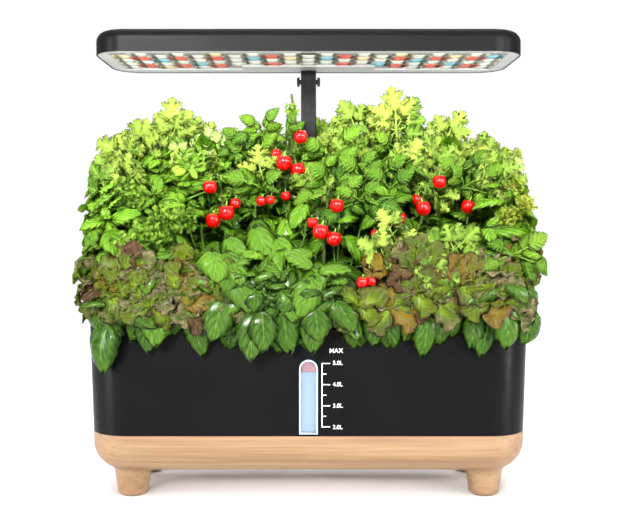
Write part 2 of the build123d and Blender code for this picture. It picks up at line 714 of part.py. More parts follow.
def refill_lid():
    """Hinged flap over the refill port, with a finger lip."""
    half = LID_W / 2 - EAR_T - EAR_GAP
    z0 = DECK_TOP + LID_LIFT
    rear = HINGE_Y - HINGE_R - LID_BACK_GAP
    lid = block(span(PORT_X, LID_W), (LID_FRONT, rear), (z0, z0 + LID_T))
    lid = fillet(upright_edges(lid), LID_ROUND)
    lid += block((PORT_X - half, PORT_X + half), (rear - 1, HINGE_Y), (z0 + LID_LIFT, z0 + LID_T))
    lid += bar(HINGE_R, PORT_X - half, PORT_X + half, HINGE_Y, hinge_z())
    lid += block(span(PORT_X, LIP_W), (LID_FRONT - LIP_OUT, LID_FRONT + 0.5), (z0 + LIP_SET, z0 + LID_T))
    return lid - bar(HINGE_PIN_R + RUN_GAP, PORT_X - LID_W, PORT_X + LID_W, HINGE_Y, hinge_z())


def lid_pin():
    """Steel pin through the ears."""
    return bar(HINGE_PIN_R, PORT_X - LID_W / 2, PORT_X + LID_W / 2, HINGE_Y, hinge_z())


def basket_radius(z):
    """Outer radius of a basket's tapered wall at a height."""
    return POD_R - BASKET_GAP - BASKET_TAPER * (DECK_TOP - z) / BASKET_H


def basket(x, y):
    """One slotted net cup hanging in the deck by its flange."""
    foot_z = DECK_TOP - BASKET_H
    top = DECK_TOP + FLANGE_T
    r_top, r_foot = basket_radius(DECK_TOP), basket_radius(foot_z)
    cup = turned([(0, foot_z), (r_foot, foot_z), (r_top, DECK_TOP), (FLANGE_R, DECK_TOP), (FLANGE_R, top),
                  (r_top - BASKET_WALL, top), (r_foot - BASKET_WALL, foot_z + BASKET_WALL),
                   (0, foot_z + BASKET_WALL)])
    slot_z = (foot_z + SLOT_END, DECK_Z - SLOT_END)
    cross = block(span(0, SLOT_W), span(0, 2 * FLANGE_R), slot_z)
    cup -= cross + Rot(0, 0, 90) * cross
    return Pos(x, y, 0) * (cup - disc(DRAIN_R, foot_z - 1, foot_z + BASKET_WALL + 1))


def sponge_top():
    return DECK_TOP + FLANGE_T - SPONGE_SET


def sponge(x, y):
    """One tapered grow sponge wedged in a basket."""
    z0 = DECK_TOP + FLANGE_T - SPONGE_H
    z1 = sponge_top()
    r0, r1 = (basket_radius(z) - BASKET_WALL - SPONGE_GAP for z in (z0, z1))
    return Pos(x, y, 0) * turned([(0, z0), (r0, z0), (r1, z1), (0, z1)])


def pods():
    return [(x, y) for y in POD_ROWS for x in COLUMNS]


def baskets():
    return Compound([basket(x, y) for x, y in pods()])


def sponges():
    return Compound([sponge(x, y) for x, y in pods()])


# ---- plants ----
def crown_sides(i):
    """Left and right limit of a plant's crown; the end columns reach the foliage's edge."""
    left = -FOLIAGE_W / 2 if i == 0 else (COLUMNS[i - 1] + COLUMNS[i] + CROWN_GAP) / 2
    right = FOLIAGE_W / 2 if i == POD_COLUMNS - 1 else (COLUMNS[i] + COLUMNS[i + 1] - CROWN_GAP) / 2
    return left, right


def side_profile(points, x):
    """A prism along X from a rounded outline of (y, z) points."""
    outline = Plane.YZ * Polyline(*points, close=True)
    flat = make_face(outline)
    flat = fillet(flat.vertices(), SIDE_ROUND)
    return Pos(x[0], 0, 0) * extrude(flat, x[1] - x[0], dir=(1, 0, 0))


def stem(x, y, top):
    return disc(STEM_R, sponge_top(), top + STEM_ROOT, x, y)


def rounded_front(x, z):
    """A deep block, rounded as seen from the front, that trims a crown's corners."""
    deep = block(x, (-FOLIAGE_D, FOLIAGE_D), z)
    return fillet(deep.edges().filter_by(Axis.Y), CROWN_ROUND)


def rounded_corners(crown):
    """Rounds the foliage's corners, as seen from above."""
    whole = block(span(0, FOLIAGE_W), span(0, FOLIAGE_D), (0, LAMP_TOP))
    return crown & fillet(whole.edges().filter_by(Axis.Z), CORNER_ROUND)


def front_plant(i):
    """Low plant in the front row, with leaves that hang over the rim."""
    x = crown_sides(i)
    front = -FOLIAGE_D / 2
    back = ROW_SPLIT - CROWN_GAP / 2
    top = DECK_TOP + FRONT_TOPS[i]
    slope_y, slope_z = FRONT_SLOPE
    crown = side_profile([(front, DRAPE_BOTTOM), (DRAPE_BACK, DRAPE_BOTTOM), (DRAPE_BACK, FRONT_BOTTOM),
                          (back, FRONT_BOTTOM), (back, top + FRONT_RISE), (front + slope_y, top),
                          (front, top - slope_z)], x)
    crown &= rounded_front(x, (DRAPE_BOTTOM, top + FRONT_RISE))
    if i in (0, POD_COLUMNS - 1):
        crown = rounded_corners(crown)
    return crown + stem(COLUMNS[i], POD_ROWS[0], FRONT_BOTTOM)


def rear_plant(i):
    """Tall plant in the rear row, leaning out over the front row and kept clear of the mast."""
    x = crown_sides(i)
    back = FOLIAGE_D / 2
    front = ROW_SPLIT + CROWN_GAP / 2
    top = DECK_TOP + REAR_TOPS[i]
    lean = DECK_TOP + FRONT_TOPS[i] + FRONT_RISE + LEAN_CLEAR
    face = front - REAR_LEAN
    outline = [(front, REAR_BOTTOM), (back - REAR_HEM[0], REAR_BOTTOM), (back, REAR_BOTTOM + REAR_HEM[1]),
               (back, top - REAR_SLOPE[1]), (back - REAR_SLOPE[0], top), (face + NECK_SLOPE[0], top),
               (face, top - NECK_SLOPE[1]), (face, lean + REAR_LEAN), (front, lean)]
    crown = side_profile(outline, x) & rounded_front(x, (REAR_BOTTOM, top))
    if i in (0, POD_COLUMNS - 1):
        crown = rounded_corners(crown)
    if x[0] < MAST_SPACE and x[1] > -MAST_SPACE:
        mast_face = MAST_Y - MAST_D / 2
        crown -= block(span(0, 2 * MAST_SPACE), (mast_face - MAST_CLEAR, FOLIAGE_D), (0, LAMP_TOP))
    return crown + stem(COLUMNS[i], POD_ROWS[1], REAR_BOTTOM)


# ---- mast ----
def mast_outline(z0, z1, grow=0.0):
    """Outside of the mast, with its raised centre rib on the front."""
    post = rounded_post(span(0, MAST_W + 2 * grow), span(MAST_Y, MAST_D + 2 * grow), (z0, z1), MAST_ROUND)
    face = MAST_Y - MAST_D / 2
    return post + block(span(0, RIB_W + 2 * grow), (face - RIB_T - grow, face + 1), (z0, z1))


def mast_bore(z0, z1):
    """Hollow of the mast."""
    return block(span(0, MAST_W - 2 * MAST_WALL), span(MAST_Y, MAST_D - 2 * MAST_WALL), (z0, z1))


def mast_socket():
    """Collar on the deck that steadies the mast."""
    collar = rounded_post(span(0, MAST_W + 2 * SOCKET_WALL), span(MAST_Y, MAST_D + 2 * SOCKET_WALL),
                          (DECK_TOP, DECK_TOP + SOCKET_H), SOCKET_ROUND)
    collar = fillet(collar.faces().sort_by(Axis.Z)[-1].edges(), SOCKET_TOP_ROUND)
    return collar - mast_outline(DECK_TOP - 1, DECK_TOP + SOCKET_H + 1, SOCKET_GAP)


def mast_tube():
    """Fixed outer tube of the mast."""
    return mast_outline(MAST_FOOT, MAST_TOP) - mast_bore(MAST_FOOT - 1, MAST_TOP + 1)


def mast_head():
    """Lock head on top of the mast: guides the pole and holds the release buttons."""
    head = mast_outline(MAST_TOP, HEAD_TOP) - mast_bore(MAST_TOP - 1, HEAD_TOP - HEAD_LID)
    head -= pole_shape(MAST_TOP, HEAD_TOP + 1, POLE_GAP / 2)
    opening = BUTTON_STEM + 2 * BUTTON_GAP
    head -= block(span(0, MAST_W + 2), span(MAST_Y, opening), span(button_z(), opening))
    slot_x = RIB_W / 2 + HEAD_SLOT_GAP + HEAD_SLOT_W / 2
    slot_z = MAST_TOP + HEAD_SLOT_RISE
    for side in (-1, 1):
        head -= block(span(side * slot_x, HEAD_SLOT_W),
                      (MAST_Y - MAST_D, MAST_Y - MAST_D / 2 + HEAD_SLOT_DEEP),
                      (slot_z, slot_z + HEAD_SLOT_H))
    return head


def button_z():
    return MAST_TOP + BUTTON_RISE + BUTTON_H / 2


def release_button(side):
    """Press tab on one side of the lock head, retained by a lip inside it."""
    wall_in = MAST_W / 2 - MAST_WALL
    outer = (MAST_W / 2 + BUTTON_TRAVEL + BUTTON_STAND, BUTTON_W / 2)
    middle = button_z()
    cap = block(outer, span(MAST_Y, BUTTON_D), span(middle, BUTTON_H))
    cap = fillet(cap.faces().sort_by(Axis.X)[-1].edges(), BUTTON_ROUND)
    inner = wall_in - BUTTON_GAP - BUTTON_LIP
    cap += block((inner, outer[0] + 0.5), span(MAST_Y, BUTTON_STEM), span(middle, BUTTON_STEM))
    button = cap + block((inner, wall_in - BUTTON_GAP), span(MAST_Y, BUTTON_STEM + BUTTON_LIP_W),
                         span(middle, BUTTON_STEM + BUTTON_LIP_H))
    return button if side > 0 else mirror(button, about=Plane.YZ)


def pole_shape(z0, z1, grow=0.0):
    depth = MAST_D - 2 * MAST_WALL - 2 * POLE_GAP
    return block(span(0, POLE_W + 2 * grow), span(MAST_Y, depth + 2 * grow), (z0, z1))


def lamp_pole():
    """Sliding inner pole with a guide foot, fixed under the lamp's neck."""
    foot_z = MAST_TOP - LAMP_RISE - POLE_GRIP
    pole = pole_shape(foot_z, LAMP_Z - POLE_SEAT)
    slack = 2 * (MAST_WALL + POLE_GAP)
    return pole + block(span(0, MAST_W - slack), span(MAST_Y, MAST_D - slack), (foot_z, foot_z + GUIDE_H))


# ---- lamp ----
def lamp_plan(z0, z1, inset):
    return slab(LAMP_W - 2 * inset, LAMP_D - 2 * inset, LAMP_R - inset, z0, z1, LAMP_Y)


def screw_places():
    """Screws along the rear, at the ends and in the middle of the front."""
    end = LAMP_W / 2 - SCREW_END
    rear = LAMP_Y + LAMP_D / 2 - SCREW_BACK
    front = LAMP_Y - LAMP_D / 2 + SCREW_FRONT
    rear_xs = (-end, -SCREW_MIDDLE, SCREW_MIDDLE, end)
    return [(x, rear) for x in rear_xs] + [(x, front) for x in (-end, 0, end)]


def lamp_housing():
    """Black lamp case: a shallow shell, open below, with screw posts under its top."""
    case = lamp_plan(LAMP_Z, LAMP_TOP, 0)
    case = fillet(case.faces().sort_by(Axis.Z)[-1].edges(), LAMP_ROUND)
    hollow = lamp_plan(BEZEL_TOP, CEILING, LAMP_WALL)
    case -= fillet(hollow.faces().sort_by(Axis.Z)[-1].edges(), LAMP_ROUND - LAMP_WALL)
    case -= lamp_plan(LAMP_Z - 1, BEZEL_TOP, LAMP_LIP)
    for x, y in screw_places():
        case += disc(SCREW_POST_R, BEZEL_TOP, CEILING + 0.5, x, y)
        case -= disc(SCREW_R, BEZEL_TOP - 1, BEZEL_TOP + SCREW_L + SCREW_TIP, x, y)
    case -= panel_plan(LAMP_TOP - PANEL_T, LAMP_TOP + 1, 0)
    for x in key_places():
        case -= disc(KEY_STEM_R + KEY_STEM_GAP, CEILING - 1, LAMP_TOP, x, PANEL_Y)
    for x in span(0, CONTROL_W - 2 * CONTROL_POST_IN):
        case += disc(CONTROL_POST_R, control_top(), CEILING + 0.5, x, PANEL_Y)
    return case


def field_window(z0, z1, inset):
    """The light field: a rectangle with a notch for the pad round the neck."""
    x = LED_FIELD_X - inset
    y = (LED_FIELD_Y[0] + inset, LED_FIELD_Y[1] - inset)
    field = block((-x, x), y, (z0, z1))
    return field - block(span(0, 2 * (PAD_X + inset)), (PAD_Y - inset, y[1] + 1), (z0 - 1, z1 + 1))


def lamp_bezel():
    """White underside frame with the pad that the neck comes out of."""
    plate = lamp_plan(BEZEL_Z, BEZEL_TOP, LAMP_LIP + BEZEL_GAP)
    plate -= field_window(BEZEL_Z - 1, BEZEL_TOP + 1, 0)
    plate -= mast_outline(BEZEL_Z - 1, BEZEL_TOP + 1, SOCKET_GAP)
    for x, y in screw_places():
        plate -= disc(SCREW_R + SCREW_GAP, BEZEL_Z - 1, BEZEL_TOP + 1, x, y)
        plate -= disc(SCREW_HEAD_R + SCREW_GAP, BEZEL_Z - 1, head_seat(), x, y)
    return plate


def head_seat():
    return BEZEL_Z + SCREW_SET + SCREW_HEAD_T


def bezel_screws():
    """Screws that hold the underside frame to the case."""
    screws = []
    for x, y in screw_places():
        screw = disc(SCREW_HEAD_R, BEZEL_Z + SCREW_SET, head_seat(), x, y)
        screw += disc(SCREW_R, head_seat(), BEZEL_TOP + SCREW_L, x, y)
        slot = (BEZEL_Z, BEZEL_Z + SCREW_SET + SCREW_HEAD_T / 2)
        screws.append(screw - block(span(x, SCREW_SLOT_L), span(y, SCREW_SLOT_W), slot))
    return Compound(screws)


def in_field(x, y, reach):
    """True if a lens at this place lies on the light field, clear of its edges."""
    low, high = LED_FIELD_Y
    on_pad = abs(x) < PAD_X + reach and y > PAD_Y - reach
    return abs(x) < LED_FIELD_X - reach and low + reach < y < high - reach and not on_pad


def cell_places():
    """Every cell of the light field with its colour letter."""
    pitch = 1.5 * CELL_W
    step = CELL_W * 0.5 * sin(pi / 3)
    places = []
    for row, colours in enumerate(LED_ROWS):
        y = CELL_Y + row * step
        for i, colour in enumerate(colours):
            x = (i - (len(colours) - 1) / 2) * pitch
            if colour != "." and in_field(x, y, LENS_R):
                places.append((x, y, colour))
    return places


def reflector():
    """Honeycomb reflector: one hexagonal cell round each lens."""
    plate = field_window(REFLECTOR_Z, BOARD_Z, PANE_GAP)
    cells = [Pos(x, y) * RegularPolygon(CELL_W / 2 - CELL_WALL / 2, 6) for x, y, _ in cell_places()]
    holes = Pos(0, 0, REFLECTOR_Z - 1) * extrude(Sketch() + cells, CELL_DEEP + 2)
    return plate - (holes & field_window(REFLECTOR_Z - 2, BOARD_Z + 2, FIELD_EDGE / 2))


def led_board():
    """Metal-core board that carries the lights."""
    return field_window(BOARD_Z, BOARD_Z + BOARD_T, PANE_GAP)


def lenses(letter):
    """All lenses of one colour: shallow domes on the board."""
    crown = LENS_H - LENS_RIM
    dome = turned([(0, 0), (LENS_R, 0), (LENS_R, -LENS_RIM)]
                  + [(LENS_R * cos(a), -LENS_RIM - crown * sin(a)) for a in (pi / 8, pi / 4, 3 * pi / 8)]
                  + [(0, -LENS_H)])
    return Compound([Pos(x, y, BOARD_Z) * dome for x, y, colour in cell_places() if colour == letter])


def lamp_neck():
    """Short neck under the lamp that holds the pole, with a flange inside the case."""
    top = BEZEL_TOP + NECK_FLANGE_T
    neck = mast_outline(LAMP_Z - NECK_H, top)
    neck += block(span(0, NECK_FLANGE_W), span(MAST_Y, NECK_FLANGE_D), (BEZEL_TOP, top))
    return neck - pole_shape(LAMP_Z - NECK_H - 1, LAMP_Z - POLE_SEAT)


def neck_bracket():
    """Clamp bar from the neck's flange up to the lamp's top."""
    foot_z = BEZEL_TOP + NECK_FLANGE_T
    y = MAST_Y - NECK_FLANGE_D / 2 + BRACKET_SET
    return block(span(0, NECK_FLANGE_W), (y, y + BRACKET_D), (foot_z, CEILING))


def key_places():
    return [(i - (len(KEY_NAMES) - 1) / 2) * KEY_PITCH for i in range(len(KEY_NAMES))]


def panel_plan(z0, z1, inset):
    width, depth = PANEL_W - 2 * inset, PANEL_D - 2 * inset
    return slab(width, depth, depth / 2 - 0.1, z0, z1, PANEL_Y)


def control_panel():
    """Glossy plate let into the lamp's top, with a hole for each key."""
    plate = panel_plan(LAMP_TOP - PANEL_T, LAMP_TOP, PANEL_GAP)
    for x in key_places():
        plate -= disc(KEY_R + KEY_GAP, LAMP_TOP - PANEL_T - 1, LAMP_TOP + 1, x, PANEL_Y)
    return plate


def control_top():
    return CEILING - CONTROL_DROP


def control_board():
    """Small board under the keys with one switch below each stem."""
    z1 = control_top()
    board = block(span(0, CONTROL_W), span(PANEL_Y, CONTROL_D), (z1 - BOARD_T, z1))
    for x in key_places():
        board += block(span(x, SWITCH_W), span(PANEL_Y, SWITCH_W), (z1, z1 + SWITCH_H))
    return board


def key(x):
    """Push key with a stem down to its switch."""
    lift = KEY_TRAVEL + KEY_REST
    foot_z = LAMP_TOP - PANEL_T + lift
    cap = disc(KEY_R, foot_z, LAMP_TOP + KEY_PROUD, x, PANEL_Y)
    cap = fillet(cap.faces().sort_by(Axis.Z)[-1].edges(), KEY_ROUND)
    return cap + disc(KEY_STEM_R, control_top() + SWITCH_H + lift, foot_z + 0.1, x, PANEL_Y)


def nodes():
    """Every named sub-part of the garden."""
    made = {
        "base_tray": base_tray(), "foot_pads": foot_pads(), "driver_board": driver_board(),
        "dc_jack": dc_jack(), "jack_nut": jack_nut(),
        "tank": tank(), "window_frame": window_frame(), "level_window": level_window(),
        "level_chamber": level_chamber(), "sight_water": sight_water(), "level_float": level_float(),
        "level_scale": level_scale(),
        "pump_body": pump_body(), "pump_cover": pump_cover(), "pump_rotor": pump_rotor(),
        "riser_tube": riser_tube(), "suction_cups": suction_cups(),
        "deck": deck(), "refill_lid": refill_lid(), "lid_pin": lid_pin(),
        "baskets": baskets(), "sponges": sponges(),
        "mast_socket": mast_socket(), "mast_tube": mast_tube(), "mast_head": mast_head(),
        "release_button_left": release_button(-1), "release_button_right": release_button(1),
        "lamp_pole": lamp_pole(), "lamp_neck": lamp_neck(), "neck_bracket": neck_bracket(),
        "lamp_housing": lamp_housing(), "lamp_bezel": lamp_bezel(), "bezel_screws": bezel_screws(),
        "reflector": reflector(), "led_board": led_board(),
        "control_panel": control_panel(), "control_board": control_board(),
    }
    for name, letter in LED_KINDS:
        made[name] = lenses(letter)
    for name, x in zip(KEY_NAMES, key_places()):
        made[name] = key(x)
    for i in range(POD_COLUMNS):
        made[f"front_plant_{i + 1}"] = front_plant(i)
        made[f"rear_plant_{i + 1}"] = rear_plant(i)
    return made


os.makedirs("parts", exist_ok=True)
for name, shape in nodes().items():
    export_step(shape, f"parts/{name}.step")
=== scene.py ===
"""Countertop hydroponic garden: finishes, foliage, fruit and studio."""
import functools
import json
import math
import random

import bmesh
import bpy
import numpy as np
from mathutils import Matrix, Vector

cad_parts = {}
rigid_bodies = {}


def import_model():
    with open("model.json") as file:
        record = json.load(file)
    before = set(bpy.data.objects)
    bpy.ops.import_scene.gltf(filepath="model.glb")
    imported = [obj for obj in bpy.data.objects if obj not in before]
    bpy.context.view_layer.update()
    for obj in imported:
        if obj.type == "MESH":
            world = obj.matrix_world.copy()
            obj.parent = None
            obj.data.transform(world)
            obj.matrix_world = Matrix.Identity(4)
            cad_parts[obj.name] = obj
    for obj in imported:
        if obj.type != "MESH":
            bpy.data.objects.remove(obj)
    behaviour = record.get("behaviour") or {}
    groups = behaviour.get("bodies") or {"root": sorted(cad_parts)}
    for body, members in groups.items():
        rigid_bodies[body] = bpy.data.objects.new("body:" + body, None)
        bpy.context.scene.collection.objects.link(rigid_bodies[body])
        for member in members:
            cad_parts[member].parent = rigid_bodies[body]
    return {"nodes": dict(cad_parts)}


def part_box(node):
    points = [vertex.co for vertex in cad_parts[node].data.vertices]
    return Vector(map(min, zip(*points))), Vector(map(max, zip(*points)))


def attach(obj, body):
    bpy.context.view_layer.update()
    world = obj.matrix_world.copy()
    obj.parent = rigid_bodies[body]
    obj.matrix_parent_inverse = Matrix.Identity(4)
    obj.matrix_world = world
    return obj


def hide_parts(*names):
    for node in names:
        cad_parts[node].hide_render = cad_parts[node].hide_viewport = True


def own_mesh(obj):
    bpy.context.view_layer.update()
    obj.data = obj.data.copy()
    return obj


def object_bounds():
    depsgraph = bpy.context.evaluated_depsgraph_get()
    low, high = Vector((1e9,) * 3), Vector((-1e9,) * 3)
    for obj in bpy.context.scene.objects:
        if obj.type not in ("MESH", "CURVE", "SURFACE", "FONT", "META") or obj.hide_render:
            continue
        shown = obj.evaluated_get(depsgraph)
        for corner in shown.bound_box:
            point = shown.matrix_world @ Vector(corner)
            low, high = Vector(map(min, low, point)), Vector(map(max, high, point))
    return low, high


bl_info = {
    "name": "Countertop hydroponic garden",
    "version": (1, 0, 0),
    "blender": (4, 5, 0),
    "location": "3D View > Sidebar > Garden",
    "description": "Dresses the garden's frame with its finishes, plants and fruit",
    "category": "Object",
}

for leftover in list(bpy.data.objects):
    bpy.data.objects.remove(leftover)
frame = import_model()
CAD_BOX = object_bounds()

MM = 0.001
UP = Vector((0, 0, 1))
EDGE_EASE = 14 * MM     # how far inside the object's limits leaves begin to be eased back

# ---- planting plan: height and depth of each row in mm, and what grows along it from left to right ----
# b basil, c celery, t tomato, l lettuce, f frill, r romaine, s burnet, y yellow frill, m mint, . nothing
COLUMNS = 17
COLUMN_PITCH = 25.5
HALF_ROW = (COLUMNS - 1) / 2 * COLUMN_PITCH
FRONT_FACE = (
    (326, 14, ".cbsscttmtctbcc.."),
    (312, 6, "bbbmmsctttttcctcs"),
    (297, -2, "bcbbtbttctttbctcy"),
    (282, -36, "bfbbttbbbttbccccy"),
    (260, -64, "bbffbbbbbbtcccbby"),
    (239, -83, "bffbbbbbbbcccbcbt"),
    (217, -93, "llbllbbbbbbllclll"),
    (205, -98, "lllllbbbbbblllllb"),
    (193, -99, "blllllbbbblllllll"),
)
REAR_FACE = (
    (340, 74, "..cbs.tt.rcbsc..."),
    (329, 88, ".ccbcbtt.rcbtccc."),
    (313, 97, "cbbcmtbt.tcccctcc"),
    (293, 101, "bfbbbttb.ttccccct"),
    (270, 102, "bffbbbtt.bttccccb"),
    (248, 100, "bbfbbbbb.bbtcccbc"),
    (226, 93, "lbbfbbbb.bbbccbbl"),
)
TOP_FACE = (
    (342, 52, "..bcbbmt.cbbcb..."),
    (339, 30, "..bcbstt.cbbsc..."),
    (330, 14, "...bb.b..b.bb.b.."),
    (322, 58, "bb............bb."),
    (320, 34, "bb............bb."),
    (314, 8, "bb............bb."),
)
END_FACE = (
    (322, (14, 38, 64), "cbb"),
    (296, (-28, -6, 18, 44, 70), "bbfbc"),
    (272, (-48, -26, -4, 20, 46, 72), "bbffbc"),
    (249, (-60, -38, -16, 8, 32, 56, 76), "bfbbbfb"),
    (226, (-68, -46, -24, -2, 20, 44, 68), "llbbfbb"),
    (203, (-72, -50, -28), "lbl"),
)
# Height and depth of the shaded rows inside, which have columns of their own.
INSIDE = (
    (196, -30), (198, 40), (210, 62), (222, -20), (248, -8), (272, 8), (296, 28), (320, 34), (236, 34),
    (262, 50),
)
INSIDE_COLUMNS = 13
INSIDE_PITCH = 27.0
END_X = 205.0           # from the middle to the ends' shoots
END_INSET = {"celery": 14.0, "lettuce": 7.0}    # how much further in some kinds stand at the ends
LONG_SINK = (10, 16)    # how much further in and lower the long leaves stand at the rear
CORNER_IN = 10          # how far in the rows curve at the corners
CORNER_OUT = 22         # how far out the front's upper rows curve there instead
UPPER_DEPTH = -50       # rows of the front behind this depth are its upper rows
ROW_DIVIDE = -22        # depth between what grows from the front pods and from the rear pods
HANGING_DEPTH = -91     # depth at which the leaves that hang over the rim start
SHOOT_DROP = 26         # from the tip of a full-size tall shoot down to where its leaves start
POD_COLUMNS = 6
POD_REACH = 17.4        # from a pod's middle to its basket's rim
FOOT_SCATTER = 6        # how far from the pod's middle a branch may start
BRANCH_STEPS = 8
# How wide a row spreads: full width at the top, less near the rim.
ROW_SPREAD = ((362, 0.93), (324, 0.99), (282, 0.96), (243, 0.92), (190, 0.9))
# Sizes of leaves: the front's basil is broad below a height, and the yellow frill is small.
BROAD_BELOW = 262
BROAD_BASIL = 1.32
SMALL_FRILL = 0.72
# Heights between which basil shoots go from dark to bright: painted shade on the low shoots.
LOW_SHADE = (205 * MM, 265 * MM)
# Shoots in front of this depth, or as far to the side, are clear of the mast.
MAST_DEPTH = 18 * MM
MAST_SIDE = 26 * MM
# Leaves that hang over the rim: place along the tank, height of the tip, length.
HANGING = (
    (-192, 160, 32), (-182, 148, 42), (-164, 156, 36), (-148, 146, 38), (-124, 157, 36), (-100, 143, 44),
    (-76, 143, 43), (-58, 155, 36), (-41, 149, 42), (-26, 146, 38), (-12, 154, 36), (2, 143, 42),
    (45, 143, 45), (62, 153, 38), (76, 143, 45), (92, 156, 36), (108, 143, 44), (122, 150, 38),
    (135, 156, 34), (148, 150, 38), (162, 143, 44), (180, 152, 38), (201, 149, 38),
)
# Tall shoots that stand above the crowns: kind, then their tip in mm and their size.
SHOOTS = (
    ("c", -198, -34, 322, 0.9), ("c", -190, 14, 346, 0.9), ("c", -172, 14, 360, 1.0),
    ("c", -137, 14, 378, 1.1), ("c", -122, 22, 366, 1.0), ("s", -106, 20, 360, 1.0),
    ("s", -92, 14, 356, 1.0), ("t", -66, 8, 360, 0.9), ("t", -46, 6, 370, 0.8), ("t", -22, -6, 370, 0.7),
    ("m", -16, -8, 388, 0.55), ("s", 30, 30, 362, 0.9), ("c", 48, 12, 380, 1.0), ("c", 66, 16, 366, 0.9),
    ("c", 88, 10, 386, 1.15), ("s", 108, 20, 366, 1.0), ("s", 120, 14, 362, 1.0),
    ("c", 138, 14, 370, 1.0), ("c", 157, 24, 344, 0.8), ("c", 178, 16, 352, 1.0), ("s", 196, 4, 332, 1.0),
    ("c", 200, -24, 310, 0.8),
)
# Fruit trusses: the stem they hang from, then each fruit's place and diameter.
TRUSSES = (
    (((-17, -6, 392), (-13, -6, 365), (-18, -4, 336), (-22, -2, 300), (-28, 4, 262)),
     ((-7.8, -14, 348.6, 13.9), (-32.2, -12, 331.8, 10.9), (-24.3, -17, 322.9, 15.9), (-10.4, -14, 316, 14.9),
      (-22.1, -26, 289.9, 9.6), (-46.2, -34, 284.8, 9.9), (-37.1, -34, 285.8, 9.3))),
    (((-89, -16, 312), (-86, -18, 291), (-83, -22, 268), (-79, -18, 236)),
     ((-96.1, -30, 298.5, 13.7), (-71.8, -28, 282.5, 10.7), (-78.5, -50, 273, 15.3),
      (-91.4, -50, 265.8, 14.4))),
    (((20, -34, 296), (17, -50, 272), (15, -58, 246), (14, -46, 214)),
     ((26.7, -58, 279.9, 13.7), (3.8, -62, 263.7, 10.4), (11.2, -70, 255.3, 15), (23.9, -70, 248.6, 14))),
    (((83, -24, 292), (77, -46, 262), (75, -44, 222)),
     ((86.9, -52, 268.5, 11.9), (62.1, -66, 253.5, 7.5))),
    (((121, -6, 322), (117, -8, 296), (112, -10, 262)),
     ((128.3, -26, 303.6, 13.7), (107, -20, 286.3, 10.9), (111, -38, 277.6, 14.6))),
    (((162, -10, 298), (158, -12, 262)), ((156.9, -24, 279.5, 13.8),)),
    (((66, -80, 226), (58, -82, 204)), ((48.6, -99, 209.5, 10.9), (56.9, -98, 210.5, 9.1))),
)

# Places on the tank's front that stay clear of leaves: place and size.
FILL_LIMIT = ((20, -70, 143, 9), (27, -70, 143, 9), (34, -70, 143, 9), (0, -70, 128, 16))
SIDE_CLEAR = 0.2        # how far a leaf keeps from a fruit's edge, as a share of the leaf's reach
FRUIT_BACK = 8          # leaves further than this behind a fruit's middle can't hide it
LID_CLEAR = 10 * MM     # how far leaves keep from the refill lid's swing


def column_place(index, pitch=COLUMN_PITCH, count=COLUMNS):
    """Place along X of one of a row's columns, in mm."""
    return (index - (count - 1) / 2) * pitch


# ---------------------------------------------------------------- settings
def length(name, description, default):
    """A size in metres, given in millimetres."""
    return bpy.props.FloatProperty(name=name, description=description, default=default * MM, min=0,
                                   subtype="DISTANCE", unit="LENGTH")


def share(name, description, default):
    return bpy.props.FloatProperty(name=name, description=description, default=default, min=0, max=1,
                                   subtype="FACTOR")


def colour(name, description, default):
    return bpy.props.FloatVectorProperty(name=name, description=description, default=default, size=3,
                                         min=0, max=1, subtype="COLOR")


class GardenFinishSettings(bpy.types.PropertyGroup):
    """Colours and surface of the hard parts."""
    plastic: colour("Plastic", "Moulded plastic of the tank and the lamp", (0.0022, 0.0022, 0.0025))
    plastic_rough: share("Plastic roughness", "Roughness of the moulded plastic", 0.34)
    grain: length("Plastic grain", "Size of the moulded texture", 0.7)
    wood_light: colour("Wood, light", "Early wood of the base", (0.345, 0.211, 0.11))
    wood_dark: colour("Wood, dark", "Late wood of the base", (0.18, 0.094, 0.043))
    numeral: length("Numerals", "Height of the litre numerals", 3.9)
    float_colour: colour("Float", "Colour of the level float", (0.78, 0.40, 0.45))
    water_colour: colour("Water", "Tint of the water in the window", (0.52, 0.7, 0.95))


class GardenFoliageSettings(bpy.types.PropertyGroup):
    """Leaf sizes and how they stand."""
    basil: length("Basil leaf", "Length of a basil leaf", 38)
    celery: length("Celery leaflet", "Length of a celery leaflet", 20)
    tomato: length("Tomato leaflet", "Length of a tomato leaflet", 20)
    lettuce: length("Lettuce leaf", "Length of a lettuce leaf", 29)
    frill: length("Frilly leaf", "Length of a frilly leaf", 34)
    romaine: length("Romaine leaf", "Length of a romaine leaf", 38)
    burnet: length("Burnet leaf", "Length of a small round leaf", 9)
    mint: length("Mint leaf", "Length of a mint leaf", 15)
    stem: length("Stem", "Radius of a branch at its foot", 1.25)
    scatter: length("Scatter", "How far a shoot may stand from its place in the plan", 7)
    seed: bpy.props.IntProperty(name="Seed", description="Chooses the scatter of the leaves", default=7)


class GardenFruitSettings(bpy.types.PropertyGroup):
    """Cherry tomatoes."""
    skin: colour("Skin", "Ripe skin", (0.42, 0.001, 0.001))
    truss: length("Truss stem", "Radius of a truss stem", 1.1)


class GardenStageSettings(bpy.types.PropertyGroup):
    """Floor, lights and camera."""
    floor: colour("Floor", "Pale floor", (0.92, 0.92, 0.92))
    ambient: bpy.props.FloatProperty(name="Ambient", description="Soft light from all round", default=0.4,
                                     min=0)
    camera_back: length("Camera distance", "Camera in front of the middle", 930)
    camera_height: length("Camera height", "Camera above the floor", 262.45)
    camera_pitch: bpy.props.FloatProperty(name="Camera pitch", description="Downward tilt",
                                          default=math.radians(2.553), subtype="ANGLE", unit="ROTATION")
    camera_lens: bpy.props.FloatProperty(name="Lens", description="Focal length in millimetres",
                                         default=53.65, subtype="DISTANCE_CAMERA")


